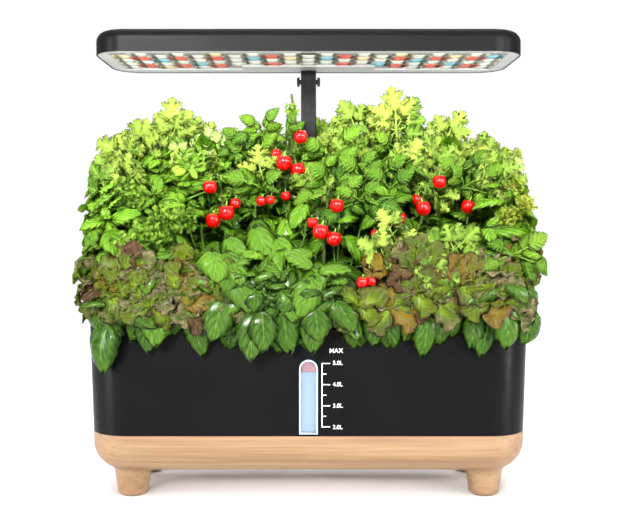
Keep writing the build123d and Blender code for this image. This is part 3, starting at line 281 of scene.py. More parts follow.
# ---------------------------------------------------------------- node helpers
class Graph:
    """Adds the nodes of one tree and links them."""

    def __init__(self, tree):
        self.tree = tree

    def add(self, kind, inputs=None, **settings):
        """A node; an input given as a socket is linked, and any other is set."""
        node = self.tree.nodes.new(kind)
        for key, value in settings.items():
            setattr(node, key, value)
        for key, value in (inputs or {}).items():
            if isinstance(value, bpy.types.NodeSocket):
                self.tree.links.new(value, node.inputs[key])
            else:
                node.inputs[key].default_value = value
        return node

    def out(self, kind, inputs=None, **settings):
        """The first output of a new node."""
        return self.add(kind, inputs, **settings).outputs[0]

    def link(self, output, target):
        self.tree.links.new(output, target)

    def maths(self, operation, a, b=0.0, c=0.0, clamp=False):
        return self.out("ShaderNodeMath", {0: a, 1: b, 2: c}, operation=operation, use_clamp=clamp)

    def times(self, a, b):
        return self.maths("MULTIPLY", a, b)

    def mix(self, factor, a, b, blend="MIX"):
        """Mix of two colours."""
        node = self.add("ShaderNodeMix", {0: factor, 6: a, 7: b}, data_type="RGBA", blend_type=blend)
        return node.outputs[2]

    def ramp(self, value, low, high, to_low=0.0, to_high=1.0):
        """A clamped change of range."""
        return self.out("ShaderNodeMapRange", {0: value, 1: low, 2: high, 3: to_low, 4: to_high})

    def noise(self, place, scale, detail, distortion=0.0):
        inputs = {"Vector": place, "Scale": scale, "Detail": detail, "Distortion": distortion}
        return self.add("ShaderNodeTexNoise", inputs).outputs["Fac"]

    def bump(self, shader, height, strength, relief):
        """Raises a shader's surface by a height."""
        normal = self.out("ShaderNodeBump", {"Strength": strength, "Distance": relief, "Height": height})
        self.link(normal, shader.inputs["Normal"])


FLOAT = "NodeSocketFloat"
COLOUR = "NodeSocketColor"


def rgba(values):
    return (*values[:3], 1.0)


def shader_group(name, inputs, outputs):
    """An empty shader group with its sockets, its graph and its two end nodes."""
    tree = bpy.data.node_groups.new(name, "ShaderNodeTree")
    for label, kind, default in inputs:
        socket = tree.interface.new_socket(label, in_out="INPUT", socket_type=kind)
        socket.default_value = default
    for label, kind in outputs:
        tree.interface.new_socket(label, in_out="OUTPUT", socket_type=kind)
    graph = Graph(tree)
    return tree, graph, graph.add("NodeGroupInput"), graph.add("NodeGroupOutput")


@functools.cache
def moulded_group():
    """Fine moulded texture: a height and a slow change of roughness."""
    tree, graph, start, end = shader_group(
        "moulded_texture", [("Grain", FLOAT, 0.0007), ("Roughness", FLOAT, 0.4)],
        [("Height", FLOAT), ("Roughness", FLOAT)])
    place = graph.add("ShaderNodeTexCoord").outputs["Object"]
    grain = graph.noise(place, graph.maths("DIVIDE", 1.0, start.outputs["Grain"]), 2.0)
    broad = graph.noise(place, 22.0, 3.0)
    swing = graph.ramp(broad, 0.3, 0.7, -0.04, 0.04)
    speck = graph.ramp(grain, 0.35, 0.65, -0.05, 0.05)
    rough = graph.maths("ADD", graph.maths("ADD", start.outputs["Roughness"], swing), speck)
    graph.link(grain, end.inputs["Height"])
    graph.link(rough, end.inputs["Roughness"])
    return tree


@functools.cache
def wood_group():
    """Straight grain along X with fine pores and short flecks."""
    tree, graph, start, end = shader_group(
        "beech_grain", [("Light", COLOUR, (0.8, 0.6, 0.4, 1)), ("Dark", COLOUR, (0.6, 0.4, 0.2, 1))],
        [("Colour", COLOUR), ("Height", FLOAT), ("Roughness", FLOAT)])
    place = graph.add("ShaderNodeTexCoord").outputs["Object"]

    def streaks(along, across, detail, distortion=0.0):
        """Noise drawn out along the grain."""
        drawn = graph.out("ShaderNodeMapping", {"Vector": place, "Scale": (along, across, across)})
        return graph.noise(drawn, 1.0, detail, distortion)

    rings = graph.ramp(streaks(3.5, 75.0, 4.0, 0.6), 0.34, 0.68)
    bands = graph.ramp(streaks(9.0, 330.0, 3.0, 0.3), 0.36, 0.7)
    pores = graph.ramp(streaks(70.0, 1500.0, 2.0), 0.58, 0.72)
    tone = graph.maths("ADD", graph.times(rings, 0.6), graph.times(bands, 0.42), clamp=True)
    base = graph.mix(tone, start.outputs["Light"], start.outputs["Dark"])
    graph.link(graph.mix(graph.times(pores, 0.4), base, (0.36, 0.19, 0.08, 1.0)), end.inputs["Colour"])
    graph.link(graph.maths("SUBTRACT", bands, pores), end.inputs["Height"])
    graph.link(graph.ramp(pores, 0, 1, 0.46, 0.62), end.inputs["Roughness"])
    return tree


@functools.cache
def leaf_group():
    """Veins, puffed cells and a painted sheen band beside each vein of a leaf, from its own lengthwise and
    crosswise coordinates.
    """
    tree, graph, start, end = shader_group(
        "leaf_blade", [("Veins", FLOAT, 6.0), ("Lean", FLOAT, 1.6), ("Width", FLOAT, 0.1)],
        [(label, FLOAT) for label in ("Vein", "PaintedSheen", "Height", "Edge", "Along", "Mottle")])
    parts = graph.add("ShaderNodeSeparateXYZ", {0: graph.out("ShaderNodeUVMap", uv_map="UVMap")}).outputs
    across = graph.maths("ABSOLUTE", graph.maths("MULTIPLY_ADD", parts[0], 2.0, -1.0))
    along = parts[1]
    sweep = graph.maths("SUBTRACT", graph.times(along, start.outputs["Veins"]),
                        graph.times(graph.maths("POWER", across, 0.8), start.outputs["Lean"]))
    phase = graph.maths("PINGPONG", sweep, 0.5)
    side = graph.maths("SUBTRACT", 1.0, graph.maths("DIVIDE", phase, start.outputs["Width"]), clamp=True)
    fade = graph.ramp(across, 0.55, 1.0, 1.0, 0.0)
    middle = graph.ramp(across, 0.03, 0.1, 1.0, 0.0)
    puff = graph.maths("POWER", graph.times(phase, 2.0), 0.6)
    place = graph.add("ShaderNodeTexCoord").outputs["Object"]
    mottle = graph.ramp(graph.noise(place, 160.0, 3.0), 0.3, 0.7)
    # A pale band just beside each vein, away from the midrib: painted sheen standing in for the leaf's
    # highlight.
    beside = graph.maths("ABSOLUTE", graph.maths("SUBTRACT", graph.maths("FRACT", sweep), 0.34))
    streak = graph.times(graph.ramp(beside, 0.06, 0.24, 1.0, 0.0), graph.ramp(across, 0.1, 0.3))
    results = {
        "Vein": graph.maths("MAXIMUM", graph.times(side, fade), middle),
        "PaintedSheen": graph.times(streak, graph.ramp(mottle, 0.0, 0.8, 0.35, 1.0)),
        "Height": graph.maths("SUBTRACT", puff, graph.times(middle, 0.8)),
        "Edge": across,
        "Along": along,
        "Mottle": mottle,
    }
    for label, value in results.items():
        graph.link(value, end.inputs[label])
    return tree


class Palette:
    """Builds each material once and hands it out by name."""

    def __init__(self):
        self.made = {}

    def start(self, name, **surface):
        """A new material: its graph and its Principled shader with plain values set."""
        material = bpy.data.materials.new(name)
        material.use_nodes = True
        graph = Graph(material.node_tree)
        shader = material.node_tree.nodes["Principled BSDF"]
        for key, value in surface.items():
            label = key.replace("_", " ").title().replace("Ior", "IOR")
            shader.inputs[label].default_value = rgba(value) if isinstance(value, tuple) else value
        shader.inputs["Subsurface Scale"].default_value = 0.003
        shader.inputs["Subsurface Radius"].default_value = (0.5, 1.0, 0.2)
        self.made[name] = material
        return graph, shader

    def moulded(self, name, base, rough=0.4, grain=0.0007, relief=0.00006, **surface):
        """Moulded plastic or rubber with a fine texture."""
        graph, shader = self.start(name, base_color=tuple(base), **surface)
        texture = graph.add("ShaderNodeGroup", {"Grain": grain, "Roughness": rough},
                            node_tree=moulded_group()).outputs
        graph.link(texture["Roughness"], shader.inputs["Roughness"])
        graph.bump(shader, texture["Height"], 0.5, relief)

    def beech(self, name, light, dark):
        graph, shader = self.start(name, coat_weight=0.12, coat_roughness=0.35)
        grain = graph.add("ShaderNodeGroup", {"Light": rgba(light), "Dark": rgba(dark)},
                          node_tree=wood_group()).outputs
        graph.link(grain["Colour"], shader.inputs["Base Color"])
        graph.link(grain["Roughness"], shader.inputs["Roughness"])
        graph.bump(shader, grain["Height"], 0.25, 0.0003)

    def leaf(self, name, dark, light, vein, veins=6.0, lean=1.6, width=0.1, rough=0.4, relief=0.0006,
             sheen=0.0, fresh=0.0, edge=None, **surface):
        """A leaf: dark to light by its own tint, pale veins, puffed cells and, on some, a painted sheen
        beside the veins and a coloured edge.
        """
        graph, shader = self.start(name, specular_ior_level=0.12, **surface)
        parts = graph.add("ShaderNodeGroup", {"Veins": veins, "Lean": lean, "Width": width},
                          node_tree=leaf_group()).outputs
        tint = graph.add("ShaderNodeAttribute", attribute_name="tint").outputs["Fac"]
        body = graph.mix(tint, rgba(dark), rgba(light))
        body = graph.mix(graph.times(parts["Mottle"], 0.12), body, rgba(light))
        # Painted sheen: a pale band beside each vein stands in for a highlight.
        if sheen:
            body = graph.mix(graph.times(parts["PaintedSheen"], sheen), body, rgba(vein))
        # Lighter towards the tip.
        if fresh:
            body = graph.mix(graph.ramp(parts["Along"], 0.5, 1.0, 0.0, fresh), body, rgba(light))
        if edge:
            body = self.stained(graph, parts, tint, body, edge)
        body = graph.mix(graph.times(parts["Vein"], 0.4), body, rgba(vein))
        graph.link(body, shader.inputs["Base Color"])
        graph.link(graph.ramp(parts["Mottle"], 0, 1, rough - 0.06, rough + 0.08), shader.inputs["Roughness"])
        graph.bump(shader, parts["Height"], 0.9, relief)

    def stained(self, graph, parts, tint, body, edge):
        """A pale heart and reddish margins on every leaf, and whole leaves stained where the tint is high."""
        red, amber, heart, pink = (rgba(tone) for tone in edge)
        rim = graph.maths("MAXIMUM", graph.ramp(parts["Edge"], 0.45, 0.95),
                          graph.ramp(parts["Along"], 0.6, 1.0))
        patch = graph.times(rim, graph.ramp(parts["Mottle"], 0.1, 0.8))
        middle = graph.times(graph.ramp(parts["Edge"], 0.0, 0.45, 1.0, 0.0),
                             graph.ramp(parts["Along"], 0.25, 0.8, 0.8, 0.0))
        body = graph.mix(middle, body, heart)
        body = graph.mix(graph.ramp(tint, 0.79, 0.81, 0.0, 0.8), body, amber)
        margin = graph.mix(graph.ramp(tint, 0.15, 0.4), pink, red)
        body = graph.mix(graph.times(patch, 0.85), body, margin)
        return graph.mix(graph.ramp(tint, 0.87, 0.89, 0.0, 0.85), body, red)

    def __getitem__(self, name):
        return self.made[name]


PALETTE = Palette()


def paint(node_name, material_name):
    """Gives a CAD node one of the palette's materials."""
    for slot in frame["nodes"][node_name].material_slots:
        slot.material = PALETTE[material_name]


# ---------------------------------------------------------------- geometry trees
def geometry_tree(name, inputs):
    """An empty geometry tree with a geometry input and output and further named inputs."""
    tree = bpy.data.node_groups.new(name, "GeometryNodeTree")
    tree.interface.new_socket("Geometry", in_out="INPUT", socket_type="NodeSocketGeometry")
    for label, kind, default in inputs:
        socket = tree.interface.new_socket(label, in_out="INPUT", socket_type=kind)
        if default is not None:
            socket.default_value = default
    tree.interface.new_socket("Geometry", in_out="OUTPUT", socket_type="NodeSocketGeometry")
    graph = Graph(tree)
    return tree, graph, graph.add("NodeGroupInput").outputs, graph.add("NodeGroupOutput").inputs


def named(graph, name, kind):
    """A named attribute read on each point."""
    return graph.add("GeometryNodeInputNamedAttribute", {"Name": name}, data_type=kind).outputs["Attribute"]


def finish_tree(graph, geometry, material, end):
    """Real geometry, smooth, in one material."""
    real = graph.out("GeometryNodeRealizeInstances", {"Geometry": geometry})
    smooth = graph.out("GeometryNodeSetShadeSmooth", {"Geometry": real})
    painted = graph.out("GeometryNodeSetMaterial", {"Geometry": smooth, "Material": material})
    graph.link(painted, end["Geometry"])


@functools.cache
def scatter_tree():
    """Places forms from a collection on points, by each point's kind, turn and size."""
    tree, graph, start, end = geometry_tree(
        "place_forms", [("Forms", "NodeSocketCollection", None), ("Size", FLOAT, 1.0),
                        ("Material", "NodeSocketMaterial", None)])
    forms = graph.out("GeometryNodeCollectionInfo", {"Collection": start["Forms"], "Separate Children": True,
                                                     "Reset Children": True})
    turn = graph.out("FunctionNodeEulerToRotation", {0: named(graph, "turn", "FLOAT_VECTOR")})
    size = graph.times(named(graph, "size", "FLOAT"), start["Size"])
    placed = graph.out("GeometryNodeInstanceOnPoints",
                       {"Points": start["Geometry"], "Instance": forms, "Pick Instance": True,
                        "Instance Index": named(graph, "kind", "INT"), "Rotation": turn, "Scale": size})
    finish_tree(graph, placed, start["Material"], end)
    return tree


@functools.cache
def stem_tree():
    """Round stems along the edges of a mesh, as thick as each point says."""
    tree, graph, start, end = geometry_tree(
        "stems", [("Radius", FLOAT, 0.0015), ("Sides", "NodeSocketInt", 6),
                  ("Material", "NodeSocketMaterial", None)])
    line = graph.out("GeometryNodeMeshToCurve", {0: start["Geometry"]})
    thick = graph.times(named(graph, "size", "FLOAT"), start["Radius"])
    sized = graph.out("GeometryNodeSetCurveRadius", {"Curve": line, "Radius": thick})
    ring = graph.out("GeometryNodeCurvePrimitiveCircle", {"Resolution": start["Sides"], "Radius": 1.0})
    tube = graph.out("GeometryNodeCurveToMesh", {"Curve": sized, "Profile Curve": ring, "Scale": thick,
                                                 "Fill Caps": True})
    finish_tree(graph, tube, start["Material"], end)
    return tree


def add_object(name, data):
    """A new object in the scene."""
    item = bpy.data.objects.new(name, data)
    bpy.context.scene.collection.objects.link(item)
    return item


def grown(name, source, tree, **inputs):
    """Runs a geometry tree on a source mesh object and keeps the result as one plain mesh object."""
    modifier = source.modifiers.new("grow", "NODES")
    modifier.node_group = tree
    for item in tree.interface.items_tree:
        if item.item_type == "SOCKET" and item.in_out == "INPUT" and item.name in inputs:
            modifier[item.identifier] = inputs[item.name]
    graph = bpy.context.evaluated_depsgraph_get()
    mesh = bpy.data.meshes.new_from_object(source.evaluated_get(graph), preserve_all_data_layers=True,
                                           depsgraph=graph)
    mesh.name = name
    bpy.data.objects.remove(source)
    return add_object(name, mesh)


def point_mesh(name, points, edges=(), **attributes):
    """A mesh of bare points, or of lines, with one value of each attribute on every point."""
    mesh = bpy.data.meshes.new(name)
    mesh.from_pydata([tuple(p) for p in points], list(edges), [])
    kinds = {"turn": "FLOAT_VECTOR", "kind": "INT"}
    for key, values in attributes.items():
        kind = kinds.get(key, "FLOAT")
        layer = mesh.attributes.new(key, kind, "POINT")
        flat = np.array(values, dtype=np.int32 if kind == "INT" else np.float32).ravel()
        layer.data.foreach_set("vector" if kind == "FLOAT_VECTOR" else "value", flat)
    return add_object(name, mesh)


def keep_inside(piece):
    """Eases the points near the object's own limits back within them."""
    count = len(piece.data.vertices)
    flat = np.empty(count * 3, dtype=np.float32)
    piece.data.vertices.foreach_get("co", flat)
    points = flat.reshape(count, 3)
    for axis in (0, 1):
        limit = CAD_BOX[1][axis] - EDGE_EASE
        over = np.abs(points[:, axis]) - limit
        eased = limit + EDGE_EASE * np.tanh(np.maximum(over, 0) / EDGE_EASE)
        points[:, axis] = np.where(over > 0, np.sign(points[:, axis]) * eased, points[:, axis])
    piece.data.vertices.foreach_set("co", points.ravel())
    piece.data.update()


# ---------------------------------------------------------------- leaf forms
class Form:
    """Points, faces and leaf coordinates of one shape, in mm until it becomes a mesh."""

    def __init__(self):
        self.points = []
        self.faces = []
        self.uvs = []

    def add(self, points, faces, uvs, place=None):
        start = len(self.points)
        for point in points:
            point = Vector(point)
            self.points.append(place @ point if place else point)
        self.faces += [tuple(start + i for i in face) for face in faces]
        self.uvs += [tuple(uv) for uv in uvs]
        return self

    def merge(self, other, place=None):
        return self.add(other.points, other.faces, other.uvs, place)

    def to_object(self, name, collection):
        """A closed smooth mesh in metres."""
        mesh = bpy.data.meshes.new(name)
        mesh.from_pydata([tuple(p * MM) for p in self.points], [], self.faces)
        layer = mesh.uv_layers.new(name="UVMap")
        for loop in mesh.loops:
            layer.data[loop.index].uv = self.uvs[loop.vertex_index]
        mesh.validate()
        item = bpy.data.objects.new(name, mesh)
        collection.objects.link(item)
        return item


def swell(peak, fullness):
    """A width profile from 0 at the foot through 1 at the peak to 0 at the tip."""
    a, b = peak * fullness, (1 - peak) * fullness

    def width(t):
        return (max(t, 1e-4) / peak) ** a * (max(1 - t, 1e-4) / (1 - peak)) ** b

    return width


def blade(size, width, rows, cols, profile, curl=0.12, groove=0.03, bend=0.7, lobes=0, lobe_depth=0.0,
          teeth=0, tooth_depth=0.0, forward=0.0, ruffle=0.0, waves=0.0, phase=0.0, skin=0.35, twist=0.0):
    """One closed leaf blade along +Y from the origin, its upper side towards +Z. Lengths in mm."""
    form = Form()
    grid = {}
    y, z = 0.0, 0.0
    for i in range(rows + 1):
        t = i / rows
        angle = bend * t ** 1.3
        if i:
            y += size / rows * math.cos(angle)
            z -= size / rows * math.sin(angle)
        half = width / 2 * profile(t)
        if lobes:
            half *= 1 - lobe_depth * (0.5 + 0.5 * math.cos(2 * math.pi * lobes * t + phase))
        if teeth:
            half *= 1 - tooth_depth * (1 - (teeth * t + 1e-6) % 1.0)
        half = max(half, 0.02 * width)
        for j in range(cols + 1):
            s = 2 * j / cols - 1
            lift = groove * size * min(1.0, abs(s) * 3) - curl * width * s * s * profile(t)
            lift += ruffle * s * s * math.sin(2 * math.pi * waves * t + phase + (1.1 if s > 0 else 0.0))
            ahead = forward * size * abs(s) * profile(t)
            x = s * half
            lift += twist * x
            normal = (math.sin(angle), math.cos(angle))
            rim = i in (0, rows) or j in (0, cols)
            base = (x, y + ahead * math.cos(angle) + lift * normal[0],
                    z - ahead * math.sin(angle) + lift * normal[1])
            grid[i, j, 1] = len(form.points)
            form.points.append(Vector(base))
            form.uvs.append((0.5 + s / 2, t))
            if rim:
                grid[i, j, 0] = grid[i, j, 1]
            else:
                grid[i, j, 0] = len(form.points)
                form.points.append(Vector((base[0], base[1] - skin * normal[0], base[2] - skin * normal[1])))
                form.uvs.append((0.5 + s / 2, t))
    for i in range(rows):
        for j in range(cols):
            form.faces.append((grid[i, j, 1], grid[i, j + 1, 1], grid[i + 1, j + 1, 1], grid[i + 1, j, 1]))
            form.faces.append((grid[i, j, 0], grid[i + 1, j, 0], grid[i + 1, j + 1, 0], grid[i, j + 1, 0]))
    return form


# Half outlines of cut leaves: for each hub on the midrib, its place along the leaf and the rim points
# (across, along) that it carries, from the foot to the tip.
CELERY_HALF = (
    (0.24, ((0.13, 0.04), (0.33, 0.06), (0.32, 0.13), (0.5, 0.21), (0.43, 0.27), (0.54, 0.37), (0.42, 0.39),
            (0.42, 0.47), (0.29, 0.43), (0.17, 0.42))),
    (0.58, ((0.28, 0.5), (0.26, 0.55), (0.44, 0.6), (0.37, 0.65), (0.44, 0.76), (0.32, 0.76), (0.28, 0.83),
            (0.18, 0.74))),
    (0.84, ((0.18, 0.83), (0.23, 0.91), (0.12, 0.91), (0.09, 0.97))),
)
TOMATO_HALF = (
    (0.18, ((0.14, 0.03), (0.31, 0.06), (0.3, 0.12), (0.43, 0.2), (0.39, 0.25))),
    (0.4, ((0.49, 0.34), (0.43, 0.39), (0.47, 0.5), (0.4, 0.53))),
    (0.66, ((0.4, 0.65), (0.31, 0.67), (0.3, 0.78), (0.21, 0.79))),
    (0.86, ((0.17, 0.88), (0.08, 0.9))),
)
BURNET_HALF = (
    (0.3, ((0.05, 0.02), (0.2, 0.16), (0.34, 0.36), (0.3, 0.4), (0.45, 0.52), (0.4, 0.58))),
    (0.68, ((0.48, 0.72), (0.39, 0.76), (0.39, 0.9), (0.29, 0.87), (0.22, 1.0), (0.12, 0.94))),
)
CURL_HALF = ((0.42, ((0.32, 0.12), (0.5, 0.48), (0.27, 0.5), (0.36, 0.88))),)


def traced(half, size, width, bend=0.4, fold=0.15, wave=0.0, phase=0.0, skin=0.3):
    """One closed leaf from half of its outline, folded along its midrib and bent back towards its tip."""
    form = Form()

    def point(across, along, lift=0.0):
        angle = bend * along
        rise = fold * abs(across) * width + wave * width * abs(across) * math.sin(7 * along + phase) + lift
        form.points.append(Vector((across * width,
                                   along * size * math.cos(angle / 2) + rise * math.sin(angle),
                                   rise * math.cos(angle) - along * size * math.sin(angle / 2))))
        form.uvs.append((0.5 + across, along))
        return len(form.points) - 1

    foot, tip = point(0, 0), point(0, 1)
    hubs = [(point(0, along), point(0, along, -skin)) for along, _ in half]
    for side in (-1, 1):
        rims = [[point(side * across, along) for across, along in points] for _, points in half]
        for layer, flip in ((0, side > 0), (1, side < 0)):
            faces = []
            last = foot
            for i, rim in enumerate(rims):
                if i:
                    faces.append((hubs[i - 1][layer], last, hubs[i][layer]))
                for spot in rim:
                    faces.append((hubs[i][layer], last, spot))
                    last = spot
            faces.append((hubs[-1][layer], last, tip))
            form.faces += [face if flip else face[::-1] for face in faces]
    return form


def stalk(start, end, thick, thin, sag=0.0, sides=5, steps=2):
    """A closed tapered stalk between two points, bowed downwards by its sag."""
    start, end = Vector(start), Vector(end)
    along = (end - start).normalized()
    side = along.cross(UP if abs(along.z) < 0.9 else Vector((1, 0, 0))).normalized()
    over = side.cross(along)
    points = []
    for i in range(steps + 1):
        t = i / steps
        middle = start.lerp(end, t) - over * sag * math.sin(math.pi * t)
        radius = thick + (thin - thick) * t
        for k in range(sides):
            a = 2 * math.pi * k / sides
            points.append(middle + side * radius * math.cos(a) + over * radius * math.sin(a))
    faces = [tuple(range(sides)), tuple(range(steps * sides + sides - 1, steps * sides - 1, -1))]
    for i in range(steps):
        for k in range(sides):
            a, b = i * sides + k, i * sides + (k + 1) % sides
            faces.append((a, a + sides, b + sides, b))
    return Form().add(points, faces, [(0.5, 0.1)] * len(points))


def turned_to(x, y, z, yaw=0.0, pitch=0.0):
    """Moves a form's foot to a point, yawed about Z and pitched about X."""
    return Matrix.Translation((x, y, z)) @ Matrix.Rotation(yaw, 4, "Z") @ Matrix.Rotation(pitch, 4, "X")


def on_stalk(leaf, reach, thick, thin):
    """A blade at the end of a short stalk that starts at the origin."""
    whole = stalk((0, 0, 0), (0, reach + 0.6, 0), thick, thin)
    return whole.merge(leaf, turned_to(0, reach, 0))


def basil_form(rng, size):
    leaf = blade(size, size * rng.uniform(0.6, 0.7), 10, 4, swell(0.4, 1.35), curl=rng.uniform(0.2, 0.34),
                 groove=0.07, bend=rng.uniform(0.7, 1.5), ruffle=size * 0.012, waves=1.6,
                 phase=rng.uniform(0, 6), twist=rng.uniform(-0.15, 0.15))
    return on_stalk(leaf, size * 0.12, 1.0, 0.8)


def celery_leaflet(rng, size):
    return traced(CELERY_HALF, size, size * rng.uniform(0.95, 1.15), rng.uniform(0.0, 0.7),
                  rng.uniform(-0.1, 0.35), 0.12, rng.uniform(0, 6))


def celery_form(rng, size):
    """Deeply cut leaflets in pairs on one stalk."""
    whole = stalk((0, 0, 0), (0, size * 1.4, 0), 0.9, 0.5)
    whole.merge(celery_leaflet(rng, size * 1.1), turned_to(0, size * 1.25, 0, rng.uniform(-0.2, 0.2)))
    for reach, along, scale in ((0.2, 1.12, 0.9), (0.42, 0.7, 0.82)):
        for side in (-1, 1):
            foot = Vector((0, size * (along - 0.06), 0))
            end = Vector((side * size * reach, size * along, size * rng.uniform(-0.06, 0.1)))
            whole.merge(stalk(foot, end, 0.5, 0.4, sides=4, steps=1))
            turn = -side * rng.uniform(0.75, 1.15)
            whole.merge(celery_leaflet(rng, size * scale), turned_to(*end, turn, rng.uniform(-0.25, 0.4)))
    return whole


def tomato_form(rng, size):
    """Five toothed, drooping leaflets on one stalk."""
    reach = size * 1.45
    whole = stalk((0, 0, 0), (0, reach, 0), 0.9, 0.55, sag=-size * 0.14, steps=3)

    def leaflet(scale):
        return traced(TOMATO_HALF, size * scale, size * 0.74 * scale, rng.uniform(0.8, 1.6),
                      rng.uniform(-0.3, 0.2), 0.1, rng.uniform(0, 6))

    whole.merge(leaflet(1.15), turned_to(0, reach - 0.5, 0, rng.uniform(-0.2, 0.2), -0.1))
    for side in (-1, 1):
        whole.merge(leaflet(1.0), turned_to(0, reach * 0.7, 0, side * rng.uniform(-1.25, -0.9), -0.15))
        whole.merge(leaflet(0.6), turned_to(0, reach * 0.36, 0, side * rng.uniform(-1.4, -1.1), -0.1))
    return whole


def lettuce_form(rng, size):
    """A long rib with round, ruffled lobes."""
    leaf = blade(size, size * rng.uniform(0.66, 0.84), 14, 6, swell(0.68, 0.5),
                 curl=rng.choice((-0.35, 0.15, 0.4)), groove=0.06, bend=rng.uniform(0.4, 2.1), lobes=2.2,
                 lobe_depth=0.3, forward=0.02, ruffle=size * 0.12, waves=2.6, phase=rng.uniform(2.6, 3.6),
                 skin=0.4, twist=rng.uniform(-0.2, 0.2))
    return on_stalk(leaf, size * 0.1, 1.5, 1.7)


def romaine_form(rng, size):
    leaf = blade(size, size * 0.4, 14, 6, swell(0.6, 0.9), curl=-0.12, groove=0.05,
                 bend=rng.uniform(0.2, 0.6), ruffle=size * 0.035, waves=4.5, phase=rng.uniform(0, 6))
    return on_stalk(leaf, size * 0.06, 1.6, 1.8)


def mint_form(rng, size):
    """A sprig of three crossed pairs of small toothed leaves."""
    whole = stalk((0, 0, 0), (0, size * 1.9, 0), 0.8, 0.5)
    for level, scale in enumerate((1.0, 0.8, 0.5)):
        for side in (-1, 1):
            leaf = blade(size * scale, size * 0.66 * scale, 8, 4, swell(0.42, 1.2), curl=0.12, groove=0.05,
                         bend=rng.uniform(0.3, 1.0), teeth=4, tooth_depth=0.18, skin=0.3)
            spot = Matrix.Translation((0, size * (0.75 + 0.55 * level), 0))
            swing = Matrix.Rotation(level * math.pi / 2, 4, "Y")
            lean = Matrix.Rotation(side * rng.uniform(-1.2, -0.8), 4, "Z")
            whole.merge(leaf, spot @ swing @ lean)
    return whole


def burnet_form(rng, size):
    """A thin stalk with pairs of small fan-shaped leaves, notched along the top."""
    whole = stalk((0, 0, 0), (0, size * 3.0, 0), 0.8, 0.45)

    def leaflet(scale):
        return traced(BURNET_HALF, size * scale, size * scale, rng.uniform(0.1, 0.6), rng.uniform(0.0, 0.3),
                      0.1)

    whole.merge(leaflet(1.3), turned_to(0, size * 2.9, 0))
    for level in range(2):
        for side in (-1, 1):
            foot = size * (1.3 + level * 0.9)
            whole.merge(leaflet(1.0), turned_to(0, foot, 0, side * rng.uniform(-1.2, -0.8),
                                                rng.uniform(-0.2, 0.3)))
    return whole


def frill_form(rng, size):
    """A frond of many tiny curled leaflets on forked stalks."""
    whole = stalk((0, 0, 0), (0, size * 0.5, 0), 0.7, 0.5, sides=4)
    for fork in range(7):
        lean = 0.33 * (fork - 3) + rng.uniform(-0.12, 0.12)
        foot = Vector((0, size * rng.uniform(0.15, 0.45), 0))
        reach = size * rng.uniform(0.35, 0.55)
        heading = Vector((math.sin(lean) * 1.2, math.cos(lean), rng.uniform(-0.3, 0.6))).normalized()
        whole.merge(stalk(foot, foot + heading * reach, 0.4, 0.25, sides=3, steps=1))
        for k in range(6):
            knot = foot + heading * reach * (0.35 + 0.13 * k)
            curl = traced(CURL_HALF, size * rng.uniform(0.1, 0.16), size * rng.uniform(0.12, 0.17), 0.6,
                          0.4, skin=0.2)
            whole.merge(curl, turned_to(*knot, lean + rng.uniform(-1.6, 1.6), rng.uniform(-0.8, 1.2)))
    return whole


BASIL_FORMS = 8
# Each shape's maker, how many forms it has, and how far a whole leaf reaches as a multiple of its setting.
SHAPES = {
    "basil": (basil_form, BASIL_FORMS, 1.1),
    "celery": (celery_form, 5, 2.3),
    "tomato": (tomato_form, 4, 2.2),
    "lettuce": (lettuce_form, 8, 1.1),
    "romaine": (romaine_form, 2, 1.0),
    "mint": (mint_form, 3, 2.6),
    "burnet": (burnet_form, 3, 4.0),
    "frill": (frill_form, 3, 1.0),
}
LETTERS = {"b": "basil", "c": "celery", "t": "tomato", "l": "lettuce", "y": "frill_gold", "f": "frill",
           "r": "romaine", "s": "burnet", "m": "mint"}
# How kinds other than basil stand: leaves, spread, lean, how far back, tint, droop.
HABITS = {
    "celery": (4, 1.15, 0.45, 14, (0.0, 0.9), 0.0),
    "sprig": (3, 0.5, 0.2, 14, (0.0, 1.0), 0.0),
    "tomato": (4, 1.6, 0.75, 4, (0.0, 0.7), 0.35),
    "romaine": (2, 0.5, 0.35, 20, (0.2, 1.0), 0.0),
    "mint": (5, 1.2, 0.5, 8, (0.0, 1.0), 0.0),
    "burnet": (4, 0.8, 0.3, 14, (0.0, 1.0), 0.0),
    "frill": (9, 1.3, 0.55, 8, (0.0, 1.0), 0.0),
    "lettuce": (7, 2.3, 0.55, 2, (0.0, 1.0), 0.0),
}
# A basil rosette's pairs, from its heart outwards: how steeply they rise, size, how far below the tip, tint.
BASIL_RINGS = ((1.15, 0.32, -2, 1.0), (0.75, 0.6, 0, 0.8), (0.25, 0.92, 5, 0.3), (-0.25, 1.05, 12, 0.0))


def shape_of(kind):
    return kind.split("_")[0]


def shelve(name, forms):
    """Keeps forms in a collection of their own while pieces are grown from them."""
    collection = bpy.data.collections.new(f"{name}_forms")
    bpy.context.scene.collection.children.link(collection)
    for i, form in enumerate(forms):
        form.to_object(f"{name}_form_{i}", collection)
    return collection


def clear_shelves(shelves):
    for collection in shelves.values():
        for item in list(collection.objects):
            bpy.data.objects.remove(item)
        bpy.data.collections.remove(collection)


def leaf_shelves(settings):
    """The leaf forms of every shape."""
    shelves = {}
    for shape, (maker, count, _) in SHAPES.items():
        rng = random.Random(settings.seed + len(shape))
        size = getattr(settings, shape) / MM
        shelves[shape] = shelve(shape, [maker(rng, size) for _ in range(count)])
    return shelves


# ---------------------------------------------------------------- how shoots stand
class Leaf:
    """Where one leaf stands."""

    def __init__(self, place, along, face, size, form, tint):
        y = along.normalized()
        x = y.cross(face)
        if x.length < 1e-4:
            x = y.cross(Vector((0.3, 0.2, 1.0)))
        x.normalize()
        self.place = place
        self.along = y
        self.turn = Matrix((x, y, x.cross(y))).transposed().to_euler()
        self.size = size
        self.form = form
        self.tint = tint


def frame_about(axis):
    """Two directions square to an axis."""
    side = axis.cross(UP if abs(axis.z) < 0.95 else Vector((0, 1, 0))).normalized()
    return side, side.cross(axis).normalized()


